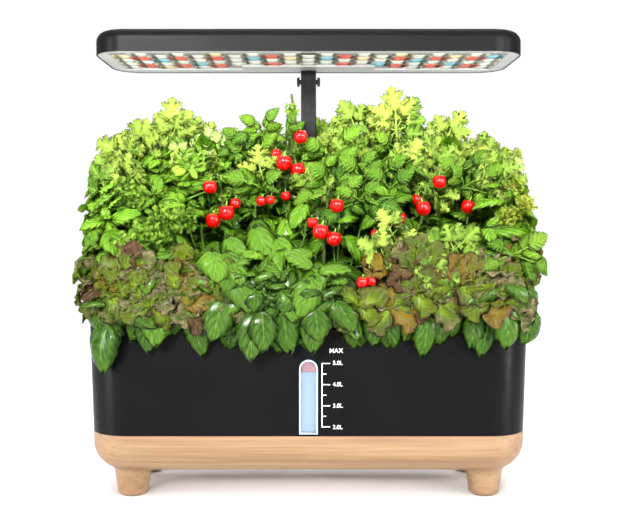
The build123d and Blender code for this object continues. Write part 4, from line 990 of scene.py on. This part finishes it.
def basil_shoot(rng, tip, out):
    """A rosette of crossed pairs, small and bright at its heart; low rosettes are darker, painted shade."""
    axis = (out * 0.8 + UP * 0.75).normalized()
    side, over = frame_about(axis)
    start = rng.uniform(0, math.pi)
    base_tint = rng.uniform(0.05, 0.7)
    # Shoots low in the crowns get a darker tint: painted shade.
    lit = float(np.interp(tip.z, LOW_SHADE, (0.05, 1.0)))
    leaves = []
    for ring, (rise, size, drop, tint) in enumerate(BASIL_RINGS):
        for half in (0, math.pi):
            a = start + ring * math.pi / 2 + half + rng.uniform(-0.2, 0.2)
            radial = side * math.cos(a) + over * math.sin(a)
            lean = rise + rng.uniform(-0.15, 0.15)
            along = radial * math.cos(lean) + axis * math.sin(lean)
            face = axis * math.cos(lean) - radial * math.sin(lean)
            shade = min(1.0, max(0.0, (base_tint + tint * 0.6 + rng.uniform(-0.12, 0.12)) * lit))
            leaves.append(Leaf(tip - axis * drop * MM, along, face, size * rng.uniform(0.88, 1.1),
                               rng.randrange(BASIL_FORMS), shade))
    return leaves


def fan(habit, forms, rng, tip, out):
    """Leaves fanned out in a plane that faces outwards."""
    count, spread, lean, back, tint, droop = HABITS[habit]
    side = out.cross(UP).normalized() if abs(out.z) < 0.95 else Vector((1, 0, 0))
    leaves = []
    for i in range(count):
        a = spread * (i - (count - 1) / 2) / max(1, count - 1) * 2 + rng.uniform(-0.2, 0.2)
        up = UP * math.cos(a) + side * math.sin(a)
        tilt = lean + rng.uniform(-0.2, 0.25)
        along = up * math.cos(tilt) + out * math.sin(tilt) - UP * droop
        face = out * math.cos(tilt) - up * math.sin(tilt) * 0.5 + UP * 0.25
        leaves.append(Leaf(tip - up * back * MM, along, face, rng.uniform(0.8, 1.15), rng.randrange(forms),
                           rng.uniform(*tint)))
    return leaves


class Garden:
    """Collects the shoots of all twelve plants before they are grown."""

    def __init__(self, settings):
        self.settings = settings
        self.rng = random.Random(settings.seed)
        low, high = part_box("baskets")
        reach = POD_REACH * MM
        width = high.x - low.x - 2 * reach
        self.columns = [low.x + reach + i * width / (POD_COLUMNS - 1) for i in range(POD_COLUMNS)]
        self.rows = {"front": low.y + reach, "rear": high.y - reach}
        self.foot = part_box("sponges")[1].z
        self.shown = [fruit for _, fruits in TRUSSES for fruit in fruits] + list(FILL_LIMIT)
        low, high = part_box("refill_lid")
        self.swing = (low.x - LID_CLEAR, high.x + LID_CLEAR, low.y - LID_CLEAR, high.y + LID_CLEAR,
                      low.z + high.y - low.y + LID_CLEAR)
        self.leaves = {}
        self.stems = {}

    def plant_at(self, place):
        """Name and foot of the plant that a shoot at this place belongs to."""
        row = "front" if place.y < ROW_DIVIDE * MM else "rear"
        column = min(range(POD_COLUMNS), key=lambda i: abs(self.columns[i] - place.x))
        return f"{row}_plant_{column + 1}", Vector((self.columns[column], self.rows[row], self.foot))

    def branch(self, plant, foot, tip, arrive, thick=1.0):
        """A curved branch from the pod to a shoot."""
        rng = self.rng
        foot = foot + Vector((rng.uniform(-FOOT_SCATTER, FOOT_SCATTER) * MM,
                              rng.uniform(-FOOT_SCATTER, FOOT_SCATTER) * MM, 0))
        span = (tip - foot).length
        first = foot + UP * span * 0.45
        last = tip - arrive * span * 0.3
        line = []
        for i in range(BRANCH_STEPS + 1):
            t = i / BRANCH_STEPS
            point = (foot * (1 - t) ** 3 + first * 3 * t * (1 - t) ** 2 + last * 3 * t * t * (1 - t)
                     + tip * t ** 3)
            line.append((point, thick * (1.25 - 0.7 * t)))
        self.stems.setdefault(plant, []).append(line)

    def hides_any(self, leaf, reach):
        """Whether a leaf would stand in front of a fruit or of the fill limit."""
        end = leaf.place + leaf.along * reach
        for x, y, z, size in self.shown:
            spot = Vector((x, 0, z)) * MM
            foot = Vector((leaf.place.x, 0, leaf.place.z))
            span = Vector((end.x, 0, end.z)) - foot
            t = min(1.0, max(0.0, (spot - foot).dot(span) / max(span.length_squared, 1e-9)))
            near = (foot + span * t - spot).length
            ahead = (leaf.place.y + end.y) / 2 < (y + FRUIT_BACK) * MM
            if near < size / 2 * MM + SIDE_CLEAR * reach and ahead:
                return True
        return False

    def fouls_lid(self, leaf, reach):
        """Whether a leaf would stand in the way of the opening refill lid."""
        left, right, near, far, top = self.swing
        for t in (0.0, 0.25, 0.5, 0.75, 1.0):
            spot = leaf.place + leaf.along * reach * t
            if left < spot.x < right and near < spot.y < far and spot.z < top:
                return True
        return False

    def shoot(self, kind, tip, out, scale=1.0, habit=None):
        """One shoot with its leaves and the branch that carries it."""
        plant, foot = self.plant_at(tip)
        arrive = (out * 0.5 + UP * 0.8).normalized()
        shape = shape_of(kind)
        _, forms, stretch = SHAPES[shape]
        reach = stretch * getattr(self.settings, shape) * scale
        if shape == "basil":
            leaves = basil_shoot(self.rng, tip, out)
        else:
            leaves = fan(habit or shape, forms, self.rng, tip, out)
        for leaf in leaves:
            leaf.size *= scale
        leaves = [leaf for leaf in leaves
                  if not self.hides_any(leaf, reach) and not self.fouls_lid(leaf, reach)]
        self.leaves.setdefault((plant, kind), []).extend(leaves)
        if leaves:
            self.branch(plant, foot, tip, arrive)

    def scattered(self, x, y, z):
        reach = self.settings.scatter / MM
        rng = self.rng
        return Vector(((x + rng.uniform(-reach, reach)) * MM, (y + rng.uniform(-reach, reach) * 0.7) * MM,
                       (z + rng.uniform(-reach, reach)) * MM))


def keep_clear_of_mast(place):
    """Moves a shoot sideways out of the mast's way."""
    if place.y > MAST_DEPTH and abs(place.x) < MAST_SIDE:
        place.x = math.copysign(MAST_SIDE, place.x)
    return place


def curved(y, face, edge):
    """Depth of a shoot in a row that curves towards the corners."""
    if face < 0 and y > UPPER_DEPTH:
        return y - CORNER_OUT * edge
    return y - face * CORNER_IN * edge


def leaf_scale(letter, face, z):
    """How large a shoot's leaves are, next to the size in the settings."""
    if letter == "y":
        return SMALL_FRILL
    return BROAD_BASIL if letter == "b" and face < 0 and z < BROAD_BELOW else 1.0


def plan_faces(garden):
    """Shoots on the front, the rear and the top of the foliage."""
    rng = garden.rng
    heights, spreads = zip(*reversed(ROW_SPREAD))
    for face, rows, tilt in ((-1, FRONT_FACE, 0.25), (1, REAR_FACE, 0.25), (0, TOP_FACE, 0.4)):
        for z, y, letters in rows:
            spread = float(np.interp(z, heights, spreads))
            for i, letter in enumerate(letters):
                if letter == ".":
                    continue
                x = column_place(i) * spread
                edge = abs(x / HALF_ROW) ** 4
                inward, down = LONG_SINK if face > 0 and letter in "ct" else (0, 0)
                place = keep_clear_of_mast(garden.scattered(x, curved(y, face, edge) - inward, z - down))
                out = Vector((0.5 * x / HALF_ROW * edge + rng.uniform(-0.3, 0.3), face, tilt))
                if not face:
                    swing = rng.uniform(0, 2 * math.pi)
                    out = Vector((math.cos(swing), math.sin(swing), tilt))
                garden.shoot(LETTERS[letter], place, out.normalized(), leaf_scale(letter, face, z))


def plan_ends(garden):
    """Shoots on both ends of the foliage."""
    for side in (-1, 1):
        for z, depths, letters in END_FACE:
            for y, letter in zip(depths, letters):
                kind = "celery" if side > 0 and letter == "f" else LETTERS[letter]
                place = garden.scattered(side * (END_X - END_INSET.get(kind, 0)), y, z)
                out = Vector((side, garden.rng.uniform(-0.3, 0.3), 0.25))
                garden.shoot(kind, place, out.normalized())


def plan_inside(garden):
    """Shaded leaves inside the foliage, so that little shows through it."""
    rng = garden.rng
    for z, y in INSIDE:
        for i in range(INSIDE_COLUMNS):
            x = column_place(i, INSIDE_PITCH, INSIDE_COLUMNS)
            place = keep_clear_of_mast(garden.scattered(x, y, z))
            out = Vector((rng.uniform(-0.5, 0.5), rng.choice((-1, 1)), 0.2)).normalized()
            garden.shoot("basil", place, out)


def plan_shoots(garden):
    """Tall shoots above the crowns."""
    for letter, x, y, z, size in SHOOTS:
        tip = Vector((x, y, z - SHOOT_DROP * size)) * MM
        habit = "sprig" if letter == "c" else None
        garden.shoot(LETTERS[letter], tip, Vector((0.15 * x / 200, -0.6, 0.3)).normalized(), size, habit)


def plan_hanging(garden):
    """Large basil leaves that hang over the rim, on stalks that arch out from the front plants."""
    rng = garden.rng
    size = garden.settings.basil / MM
    for x, tip_z, reach in HANGING:
        along = Vector((rng.uniform(-0.22, 0.22), -0.16, -1.0))
        foot = Vector((x - along.x * reach, HANGING_DEPTH + rng.uniform(-3, 3), tip_z + reach)) * MM
        plant, pod = garden.plant_at(foot)
        face = Vector((rng.uniform(-0.25, 0.25), -1.0, 0.15))
        garden.leaves.setdefault((plant, "basil"), []).append(
            Leaf(foot, along, face, reach / size, rng.randrange(BASIL_FORMS), rng.uniform(0.0, 0.08)))
        garden.branch(plant, pod, foot, Vector((0.0, -0.8, -0.3)).normalized(), 0.9)


def grow_plant(garden, shelves, node):
    """Turns one plant's shoots into its leaf pieces and its stems, which replace the CAD crown."""
    for (plant, kind), leaves in garden.leaves.items():
        if plant != node or not leaves:
            continue
        source = point_mesh("leaf_places", [leaf.place for leaf in leaves],
                            turn=[tuple(leaf.turn) for leaf in leaves], size=[leaf.size for leaf in leaves],
                            kind=[leaf.form for leaf in leaves], tint=[leaf.tint for leaf in leaves])
        piece = grown(f"{node}_{kind}", source, scatter_tree(), Forms=shelves[shape_of(kind)], Size=1.0,
                      Material=PALETTE[f"{kind}_leaf"])
        keep_inside(piece)
        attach(piece, "deck")
    points, edges, sizes = [], [], []
    for line in garden.stems[node]:
        start = len(points)
        points += [point for point, _ in line]
        sizes += [size for _, size in line]
        edges += [(start + i, start + i + 1) for i in range(len(line) - 1)]
    source = point_mesh("stem_lines", points, edges, size=sizes)
    stems = grown(f"{node}_stems", source, stem_tree(), Radius=garden.settings.stem, Sides=6,
                  Material=PALETTE["green_stem"])
    keep_inside(stems)
    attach(stems, "deck")
    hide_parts(node)


# ---------------------------------------------------------------- stage
# Lights: name, place, target, size, power in watts and spread in degrees.
LIGHTS = (
    ("key", (-0.5, -1.6, 0.9), (0, 0, 0.33), (0.6, 0.6), 2.5, 24),
    ("fill", (0.9, -1.5, 0.8), (0, 0, 0.33), (0.6, 0.6), 1.15, 24),
    ("front", (0.0, -1.8, 1.0), (0, 0, 0.2), (1.0, 1.0), 4, 180),
    ("left_strip", (-0.9, -0.5, 0.3), (0, 0, 0.15), (0.06, 0.6), 7.5, 180),
    ("right_strip", (0.9, -0.5, 0.3), (0, 0, 0.15), (0.06, 0.6), 7.5, 180),
    ("overhead", (0.0, 0.2, 2.2), (0, 0.2, 0.0), (2.4, 2.4), 26, 180),
    ("back", (0.0, 1.4, 1.1), (0, 0, 0.3), (1.2, 0.6), 16, 180),
    ("grow_light", (0.0, -0.01, 0.4205), (0, -0.01, 0.0), (0.37, 0.085), 0.2, 180),
)
FLOOR_HALF, FLOOR_NEAR, FLOOR_FAR = 2.5, -1.6, 1.1
BACKDROP = 1.02         # brightness of what the camera sees behind the object


def lay_floor(tone):
    mesh = bpy.data.meshes.new("floor")
    mesh.from_pydata([(-FLOOR_HALF, FLOOR_NEAR, 0), (FLOOR_HALF, FLOOR_NEAR, 0), (FLOOR_HALF, FLOOR_FAR, 0),
                      (-FLOOR_HALF, FLOOR_FAR, 0)], [], [(0, 1, 2, 3)])
    floor = add_object("floor", mesh)
    PALETTE.start("pale_floor", base_color=tuple(tone), roughness=0.7)
    mesh.materials.append(PALETTE["pale_floor"])


def set_backdrop(scene, ambient):
    """Even light from all round, behind which the camera sees white."""
    world = scene.world or bpy.data.worlds.new("studio")
    scene.world = world
    world.use_nodes = True
    graph = Graph(world.node_tree)
    seen = graph.add("ShaderNodeLightPath").outputs["Is Camera Ray"]
    backdrop = world.node_tree.nodes["Background"].inputs
    backdrop["Color"].default_value = (1, 1, 1, 1)
    graph.link(graph.ramp(seen, 0, 1, ambient, BACKDROP), backdrop["Strength"])
    scene.view_settings.view_transform = "Standard"


def hang_lights():
    for name, place, target, size, power, spread in LIGHTS:
        lamp = bpy.data.lights.new(name, "AREA")
        lamp.shape = "RECTANGLE"
        lamp.size, lamp.size_y = size
        lamp.energy = power
        lamp.spread = math.radians(spread)
        light = add_object(name, lamp)
        light.location = place
        light.rotation_euler = (Vector(target) - Vector(place)).to_track_quat("-Z", "Y").to_euler()


def set_camera(scene, settings):
    camera = add_object("camera", bpy.data.cameras.new("camera"))
    camera.location = (0, -settings.camera_back, settings.camera_height)
    camera.rotation_euler = (math.pi / 2 - settings.camera_pitch, 0, 0)
    camera.data.lens = settings.camera_lens
    camera.data.sensor_width = 36.0
    scene.camera = camera


class GARDEN_OT_stage(bpy.types.Operator):
    """Lays the pale floor, hangs the soft lights and sets the camera"""
    bl_idname = "garden.stage"
    bl_label = "Stage"

    def execute(self, context):
        settings = context.scene.garden_stage
        lay_floor(settings.floor)
        set_backdrop(context.scene, settings.ambient)
        hang_lights()
        set_camera(context.scene, settings)
        return {"FINISHED"}


# ---------------------------------------------------------------- hard parts
# Which CAD nodes each material paints.
FINISHES = {
    "tank_plastic": ("tank", "deck", "mast_socket", "refill_lid"),
    "mast_plastic": ("mast_tube", "mast_head", "lamp_neck", "lamp_pole", "release_button_left",
                     "release_button_right", "baskets", "dc_jack", "control_panel"),
    "lamp_plastic": ("lamp_housing",),
    "white_gloss": ("lamp_bezel", "light_key", "mode_key", "pump_key"),
    "tinted_rim": ("window_frame",),
    "white_matt": ("level_chamber", "pump_rotor"),
    "white_print": ("level_scale",),
    "rubber": ("foot_pads", "suction_cups"),
    "pump_plastic": ("pump_body", "pump_cover"),
    "circuit_board": ("driver_board", "control_board"),
    "sponge": ("sponges",),
    "steel": ("bezel_screws", "lid_pin", "jack_nut", "neck_bracket"),
    "board_metal": ("led_board",),
    "mirror_chrome": ("reflector",),
    "float_foam": ("level_float",),
    "clear_tube": ("riser_tube",),
    "beech": ("base_tray",),
    "clear_pane": ("level_window",),
    "lens_white": ("lens_white",),
    "lens_warm": ("lens_warm",),
    "lens_red": ("lens_red",),
    "lens_blue": ("lens_blue",),
}
# The lamp's lenses: tone and how brightly they glow.
LENSES = {
    "white": ((0.93, 0.95, 0.93), 0.5 * 1.3),
    "warm": ((1.0, 0.86, 0.52), 0.5 * 1.3),
    "red": ((0.85, 0.09, 0.04), 0.6 * 1.3),
    "blue": ((0.25, 0.66, 0.9), 0.5 * 1.3),
}
# Litre scale: its top number and how many litres it spans, how far its numerals stand aside, and where the
# word above it stands from its upper left corner and how much larger it is.
TOP_LITRE = 5
SCALE_LITRES = 3
NUMERAL_ASIDE = 2.4 * MM
LIMIT_PLACE = (7.2 * MM, 11.4 * MM)
LIMIT_SIZE = 1.1
# Numerals: how thick the print is, and font size and boldness next to a numeral's height.
PRINT_DEPTH = 0.1 * MM
FONT_SIZE = 1.38
FONT_BOLD = 0.012


class GARDEN_OT_case(bpy.types.Operator):
    """Finishes the tank, the deck, the mast and the lamp"""
    bl_idname = "garden.case"
    bl_label = "Case finishes"

    def execute(self, context):
        settings = context.scene.garden_finish
        grain = settings.grain
        fine = grain * 0.6
        PALETTE.moulded("tank_plastic", settings.plastic, settings.plastic_rough, grain,
                        specular_ior_level=0.12)
        PALETTE.moulded("mast_plastic", (0.008, 0.008, 0.009), 0.3, fine, 0.00003, specular_ior_level=0.24)
        PALETTE.moulded("lamp_plastic", (0.004, 0.004, 0.0045), 0.4, fine, 0.00003, specular_ior_level=0.1)
        PALETTE.moulded("white_gloss", (0.86, 0.86, 0.86), 0.16, 0.003, 0.00001, coat_weight=0.4)
        PALETTE.moulded("tinted_rim", (0.42, 0.6, 0.84), 0.2, 0.003, 0.00001, coat_weight=0.4)
        PALETTE.moulded("white_matt", (0.8, 0.8, 0.8), 0.5)
        PALETTE.moulded("white_print", (0.9, 0.9, 0.9), 0.55, 0.0004)
        PALETTE.moulded("rubber", (0.03, 0.03, 0.03), 0.75, 0.0005)
        PALETTE.moulded("pump_plastic", (0.12, 0.12, 0.13), 0.45)
        PALETTE.moulded("circuit_board", (0.01, 0.12, 0.05), 0.35)
        PALETTE.moulded("sponge", (0.07, 0.045, 0.03), 0.95, 0.0016, 0.0006)
        PALETTE.moulded("steel", (0.62, 0.62, 0.63), 0.3, 0.0003, 0.00002, metallic=1.0)
        PALETTE.moulded("board_metal", (0.78, 0.78, 0.78), 0.4, 0.0004, 0.00002, metallic=0.8)
        PALETTE.moulded("mirror_chrome", (0.78, 0.77, 0.72), 0.14, 0.004, 0.00008, metallic=1.0)
        PALETTE.moulded("float_foam", settings.float_colour, 0.5, 0.0009)
        PALETTE.moulded("clear_tube", (0.7, 0.75, 0.75), 0.2, 0.003, 0.00001)
        PALETTE.beech("beech", settings.wood_light, settings.wood_dark)
        for name, (tone, glow) in LENSES.items():
            PALETTE.moulded(f"lens_{name}", tone, 0.12, 0.002, 0.00001, coat_weight=0.6, emission_color=tone,
                            emission_strength=glow)
        PALETTE.start("clear_pane", base_color=(0.95, 0.97, 1.0), roughness=0.04, transmission_weight=1.0,
                      ior=1.3)
        PALETTE.moulded("level_water", settings.water_colour, 0.12, 0.004, 0.00001, coat_weight=0.5)
        for material, names in FINISHES.items():
            for name in names:
                paint(name, material)
        return {"FINISHED"}


class GARDEN_OT_numerals(bpy.types.Operator):
    """Prints the litre numerals and the fill limit beside the window"""
    bl_idname = "garden.numerals"
    bl_label = "Litre numerals"

    def execute(self, context):
        settings = context.scene.garden_finish
        low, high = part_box("level_scale")
        face = low.y
        pitch = (high.z - low.z) / SCALE_LITRES
        labels = [(f"{TOP_LITRE - i}.0L", high.x + NUMERAL_ASIDE, high.z - i * pitch, settings.numeral)
                  for i in range(SCALE_LITRES + 1)]
        along, above = LIMIT_PLACE
        labels.append(("MAX", low.x + along, high.z + above, settings.numeral * LIMIT_SIZE))
        joined = bmesh.new()
        for text, x, z, height in labels:
            curve = bpy.data.curves.new("numeral", "FONT")
            curve.body = text
            curve.size = height * FONT_SIZE
            curve.offset = height * FONT_BOLD
            curve.extrude = PRINT_DEPTH
            curve.align_y = "CENTER"
            item = add_object("numeral", curve)
            graph = context.evaluated_depsgraph_get()
            mesh = bpy.data.meshes.new_from_object(item.evaluated_get(graph), depsgraph=graph)
            upright = Matrix.Rotation(math.pi / 2, 4, "X")
            mesh.transform(Matrix.Translation((x, face + PRINT_DEPTH, z)) @ upright)
            joined.from_mesh(mesh)
            bpy.data.objects.remove(item)
        mesh = bpy.data.meshes.new("litre_numerals")
        joined.to_mesh(mesh)
        joined.free()
        mesh.materials.append(PALETTE["white_print"])
        piece = add_object("litre_numerals", mesh)
        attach(piece, "base")
        return {"FINISHED"}


def rounded_loop(low, high, z, inset, corner=1.2 * MM, steps=4):
    """Points round a rectangle with rounded corners, at one height."""
    loop = []
    for quarter, (x, y) in enumerate(((high.x, high.y), (low.x, high.y), (low.x, low.y), (high.x, low.y))):
        middle = Vector((x - math.copysign(corner, x - (low.x + high.x) / 2),
                         y - math.copysign(corner, y - (low.y + high.y) / 2), z))
        for k in range(steps + 1):
            a = (quarter + k / steps) * math.pi / 2
            loop.append(middle + Vector((math.cos(a), math.sin(a), 0)) * (corner - inset))
    return loop


def lofted(name, loops):
    """A closed mesh through loops of as many points each, from the bottom to the top."""
    count = len(loops[0])
    faces = [tuple(reversed(range(count))), tuple(range((len(loops) - 1) * count, len(loops) * count))]
    for level in range(len(loops) - 1):
        for k in range(count):
            a, b = level * count + k, level * count + (k + 1) % count
            faces.append((a, b, b + count, a + count))
    mesh = bpy.data.meshes.new(name)
    mesh.from_pydata([tuple(point) for loop in loops for point in loop], [], faces)
    return mesh


class GARDEN_OT_water(bpy.types.Operator):
    """Fills the level window with water"""
    bl_idname = "garden.water"
    bl_label = "Water"

    def execute(self, context):
        low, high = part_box("sight_water")
        levels = ((low.z, 0.5 * MM), (low.z + 0.5 * MM, 0), (high.z, 0), (high.z - 0.4 * MM, 0.7 * MM))
        mesh = lofted("window_water", [rounded_loop(low, high, z, inset) for z, inset in levels])
        mesh.materials.append(PALETTE["level_water"])
        piece = add_object("window_water", mesh)
        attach(piece, "base")
        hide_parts("sight_water")
        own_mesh(piece)
        return {"FINISHED"}


# ---------------------------------------------------------------- plants and fruit
# Leaf materials: dark, light and vein colours, and what else differs.
LEAF_LOOKS = {
    "basil": ((0.004, 0.028, 0.0004), (0.21, 0.46, 0.022), (0.14, 0.32, 0.03),
              {"veins": 5, "rough": 0.3, "lean": 2.3, "relief": 0.0015, "sheen": 0.11, "fresh": 0.1,
               "coat_weight": 0.24, "coat_roughness": 0.16, "subsurface_weight": 0.2}),
    "celery": ((0.06, 0.18, 0.01), (0.34, 0.46, 0.06), (0.36, 0.47, 0.1),
               {"veins": 5, "rough": 0.42, "subsurface_weight": 0.2}),
    "tomato": ((0.024, 0.1, 0.008), (0.18, 0.36, 0.02), (0.22, 0.38, 0.05),
               {"veins": 6, "rough": 0.4, "relief": 0.0012, "sheen": 0.2, "subsurface_weight": 0.25}),
    "mint": ((0.14, 0.32, 0.02), (0.36, 0.56, 0.06), (0.45, 0.6, 0.14),
             {"veins": 6, "rough": 0.45, "subsurface_weight": 0.25}),
    "burnet": ((0.2, 0.36, 0.05), (0.45, 0.6, 0.17), (0.5, 0.62, 0.26),
               {"veins": 4, "rough": 0.5, "subsurface_weight": 0.25}),
    "frill": ((0.08, 0.23, 0.01), (0.32, 0.52, 0.05), (0.34, 0.52, 0.08), {"veins": 3, "rough": 0.5}),
    "romaine": ((0.22, 0.4, 0.09), (0.42, 0.58, 0.24), (0.62, 0.7, 0.48), {"veins": 8, "rough": 0.4}),
    "lettuce": ((0.01, 0.028, 0.001), (0.09, 0.14, 0.002), (0.14, 0.2, 0.02),
                {"veins": 5, "rough": 0.38, "width": 0.06, "relief": 0.0012, "coat_weight": 0.06,
                 "coat_roughness": 0.2, "subsurface_weight": 0.2,
                 "edge": ((0.045, 0.016, 0.012), (0.13, 0.06, 0.005), (0.2, 0.31, 0.015),
                          (0.25, 0.165, 0.1))}),
    "frill_gold": ((0.28, 0.46, 0.02), (0.66, 0.7, 0.1), (0.6, 0.62, 0.14), {"veins": 3, "rough": 0.42}),
}


class GARDEN_OT_plants(bpy.types.Operator):
    """Grows the twelve plants over their pods"""
    bl_idname = "garden.plants"
    bl_label = "Plants"

    def execute(self, context):
        settings = context.scene.garden_foliage
        for kind, (dark, light, vein, more) in LEAF_LOOKS.items():
            PALETTE.leaf(f"{kind}_leaf", dark, light, vein, **more)
        PALETTE.moulded("green_stem", (0.06, 0.13, 0.015), 0.5, 0.002, 0.0001, specular_ior_level=0.2)
        garden = Garden(settings)
        for plan in (plan_faces, plan_ends, plan_inside, plan_shoots, plan_hanging):
            plan(garden)
        shelves = leaf_shelves(settings)
        for node in sorted({plant for plant, _ in garden.leaves}):
            grow_plant(garden, shelves, node)
        clear_shelves(shelves)
        return {"FINISHED"}


# Half of a fruit's outline from its stalk to its foot: radius and height, for a fruit one unit across.
FRUIT_PROFILE = ((0.0, 0.40), (0.07, 0.425), (0.16, 0.46), (0.27, 0.455), (0.38, 0.39), (0.46, 0.27),
                 (0.5, 0.1), (0.495, -0.08), (0.45, -0.24), (0.36, -0.37), (0.23, -0.45), (0.1, -0.478),
                 (0.0, -0.48))
FRUIT_SIDES = 24
FRUIT_SEED = 3
STALK_REACH = 0.7       # from a fruit's middle to where its stalk leaves it, in diameters
HOOK_ABOVE = Vector((0, 0, 6 * MM))     # where a stalk would best leave the truss, from the fruit's end
STALK_ARCH = Vector((0, 0, 4 * MM))     # how far a stalk's middle rises


def fruit_form():
    """A cherry tomato, slightly flattened and dimpled round its stalk."""
    sides = FRUIT_SIDES
    (_, top), *rings, (_, bottom) = FRUIT_PROFILE
    points, faces = [Vector((0, 0, top))], []
    for radius, z in rings:
        for k in range(sides):
            a = 2 * math.pi * k / sides
            points.append(Vector((radius * math.cos(a), radius * math.sin(a), z)))
    points.append(Vector((0, 0, bottom)))
    last = len(points) - 1
    for k in range(sides):
        n = (k + 1) % sides
        faces.append((0, 1 + k, 1 + n))
        for ring in range(len(rings) - 1):
            a = 1 + ring * sides
            faces.append((a + k, a + sides + k, a + sides + n, a + n))
        faces.append((last - sides + k, last, last - sides + n))
    return Form().add(points, faces, [(0.5, 0.5)] * len(points))


def calyx_form():
    """Five thin green sepals and the foot of the stalk, for a fruit one unit across."""
    whole = stalk((0, 0, 0.4), (0.03, 0.02, 0.72), 0.045, 0.04, sides=6)
    for k in range(5):
        sepal = blade(0.46, 0.13, 6, 2, swell(0.3, 1.1), curl=0.1, groove=0.02, bend=0.9, skin=0.02)
        whole.merge(sepal, Matrix.Translation((0, 0, 0.43)) @ Matrix.Rotation(k * 2 * math.pi / 5, 4, "Z")
                    @ Matrix.Rotation(0.35, 4, "X"))
    return whole


def hang_fruit(rng):
    """Places, turns and sizes of the fruit, then points, edges and thickness of the stems that carry them."""
    places, turns, sizes = [], [], []
    points, edges, thick = [], [], []

    def line(path, radii):
        start = len(points)
        points.extend(path)
        thick.extend(radii)
        edges.extend((start + i, start + i + 1) for i in range(len(path) - 1))

    for stem, fruits in TRUSSES:
        nodes = [Vector(p) * MM for p in stem]
        line(nodes, [1.0 + 0.25 * i for i in range(len(nodes))])
        for x, y, z, size in fruits:
            middle = Vector((x, y, z)) * MM
            lean = Vector((rng.uniform(-0.3, 0.3), rng.uniform(-0.25, 0.05), 1.0)).normalized()
            top = middle + lean * size * STALK_REACH * MM
            hook = min((a.lerp(b, t) for a, b in zip(nodes, nodes[1:]) for t in (0.2, 0.5, 0.8)),
                       key=lambda p: (p - top - HOOK_ABOVE).length)
            rise = (top + hook) / 2 + STALK_ARCH
            line([hook, rise, top], [0.55, 0.5, 0.45])
            places.append(middle)
            turns.append(tuple(UP.rotation_difference(lean).to_euler()))
            sizes.append(size)
    return (places, turns, sizes), (points, edges, thick)


class GARDEN_OT_tomatoes(bpy.types.Operator):
    """Hangs the cherry tomatoes on their trusses"""
    bl_idname = "garden.tomatoes"
    bl_label = "Tomatoes"

    def execute(self, context):
        settings = context.scene.garden_fruit
        PALETTE.moulded("tomato_skin", settings.skin, 0.2, 0.006, 0.00002, coat_weight=0.7,
                        coat_roughness=0.05, specular_ior_level=0.1)
        PALETTE.moulded("truss_stem", (0.045, 0.075, 0.012), 0.55, 0.0015, 0.0001, specular_ior_level=0.2)
        (places, turns, sizes), (points, edges, thick) = hang_fruit(random.Random(FRUIT_SEED))
        count = len(places)
        shelves = {"tomatoes": shelve("fruit", [fruit_form()]), "calyxes": shelve("calyx", [calyx_form()])}
        for name, material, slot in (("tomatoes", "tomato_skin", "tomato_leaf"),
                                     ("calyxes", "mint_leaf", "tomato_leaf")):
            source = point_mesh(name, places, turn=turns, size=sizes, kind=[0] * count, tint=[0.2] * count)
            piece = grown(name, source, scatter_tree(), Forms=shelves[name], Size=1.0,
                          Material=PALETTE[material])
            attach(piece, "deck")
        source = point_mesh("trusses", points, edges, size=thick)
        trusses = grown("trusses", source, stem_tree(), Radius=settings.truss, Sides=8,
                        Material=PALETTE["truss_stem"])
        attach(trusses, "deck")
        clear_shelves(shelves)
        return {"FINISHED"}


class GARDEN_PT_panel(bpy.types.Panel):
    """Lists the steps that dress the garden"""
    bl_idname = "GARDEN_PT_panel"
    bl_label = "Garden"
    bl_space_type = "VIEW_3D"
    bl_region_type = "UI"
    bl_category = "Garden"

    def draw(self, context):
        for operator in OPERATORS:
            self.layout.operator(operator.bl_idname)


SETTINGS = (("garden_stage", GardenStageSettings), ("garden_finish", GardenFinishSettings),
            ("garden_foliage", GardenFoliageSettings), ("garden_fruit", GardenFruitSettings))
OPERATORS = (GARDEN_OT_stage, GARDEN_OT_case, GARDEN_OT_numerals, GARDEN_OT_water, GARDEN_OT_plants,
             GARDEN_OT_tomatoes)


def register():
    for name, settings in SETTINGS:
        bpy.utils.register_class(settings)
        setattr(bpy.types.Scene, name, bpy.props.PointerProperty(type=settings))
    for operator in (*OPERATORS, GARDEN_PT_panel):
        bpy.utils.register_class(operator)


def unregister():
    for operator in reversed((*OPERATORS, GARDEN_PT_panel)):
        bpy.utils.unregister_class(operator)
    for name, settings in reversed(SETTINGS):
        delattr(bpy.types.Scene, name)
        bpy.utils.unregister_class(settings)


def main():
    register()
    bpy.ops.garden.stage()
    bpy.ops.garden.case()
    bpy.ops.garden.numerals()
    bpy.ops.garden.water()
    bpy.ops.garden.plants()
    bpy.ops.garden.tomatoes()


if __name__ == "__main__":
    main()
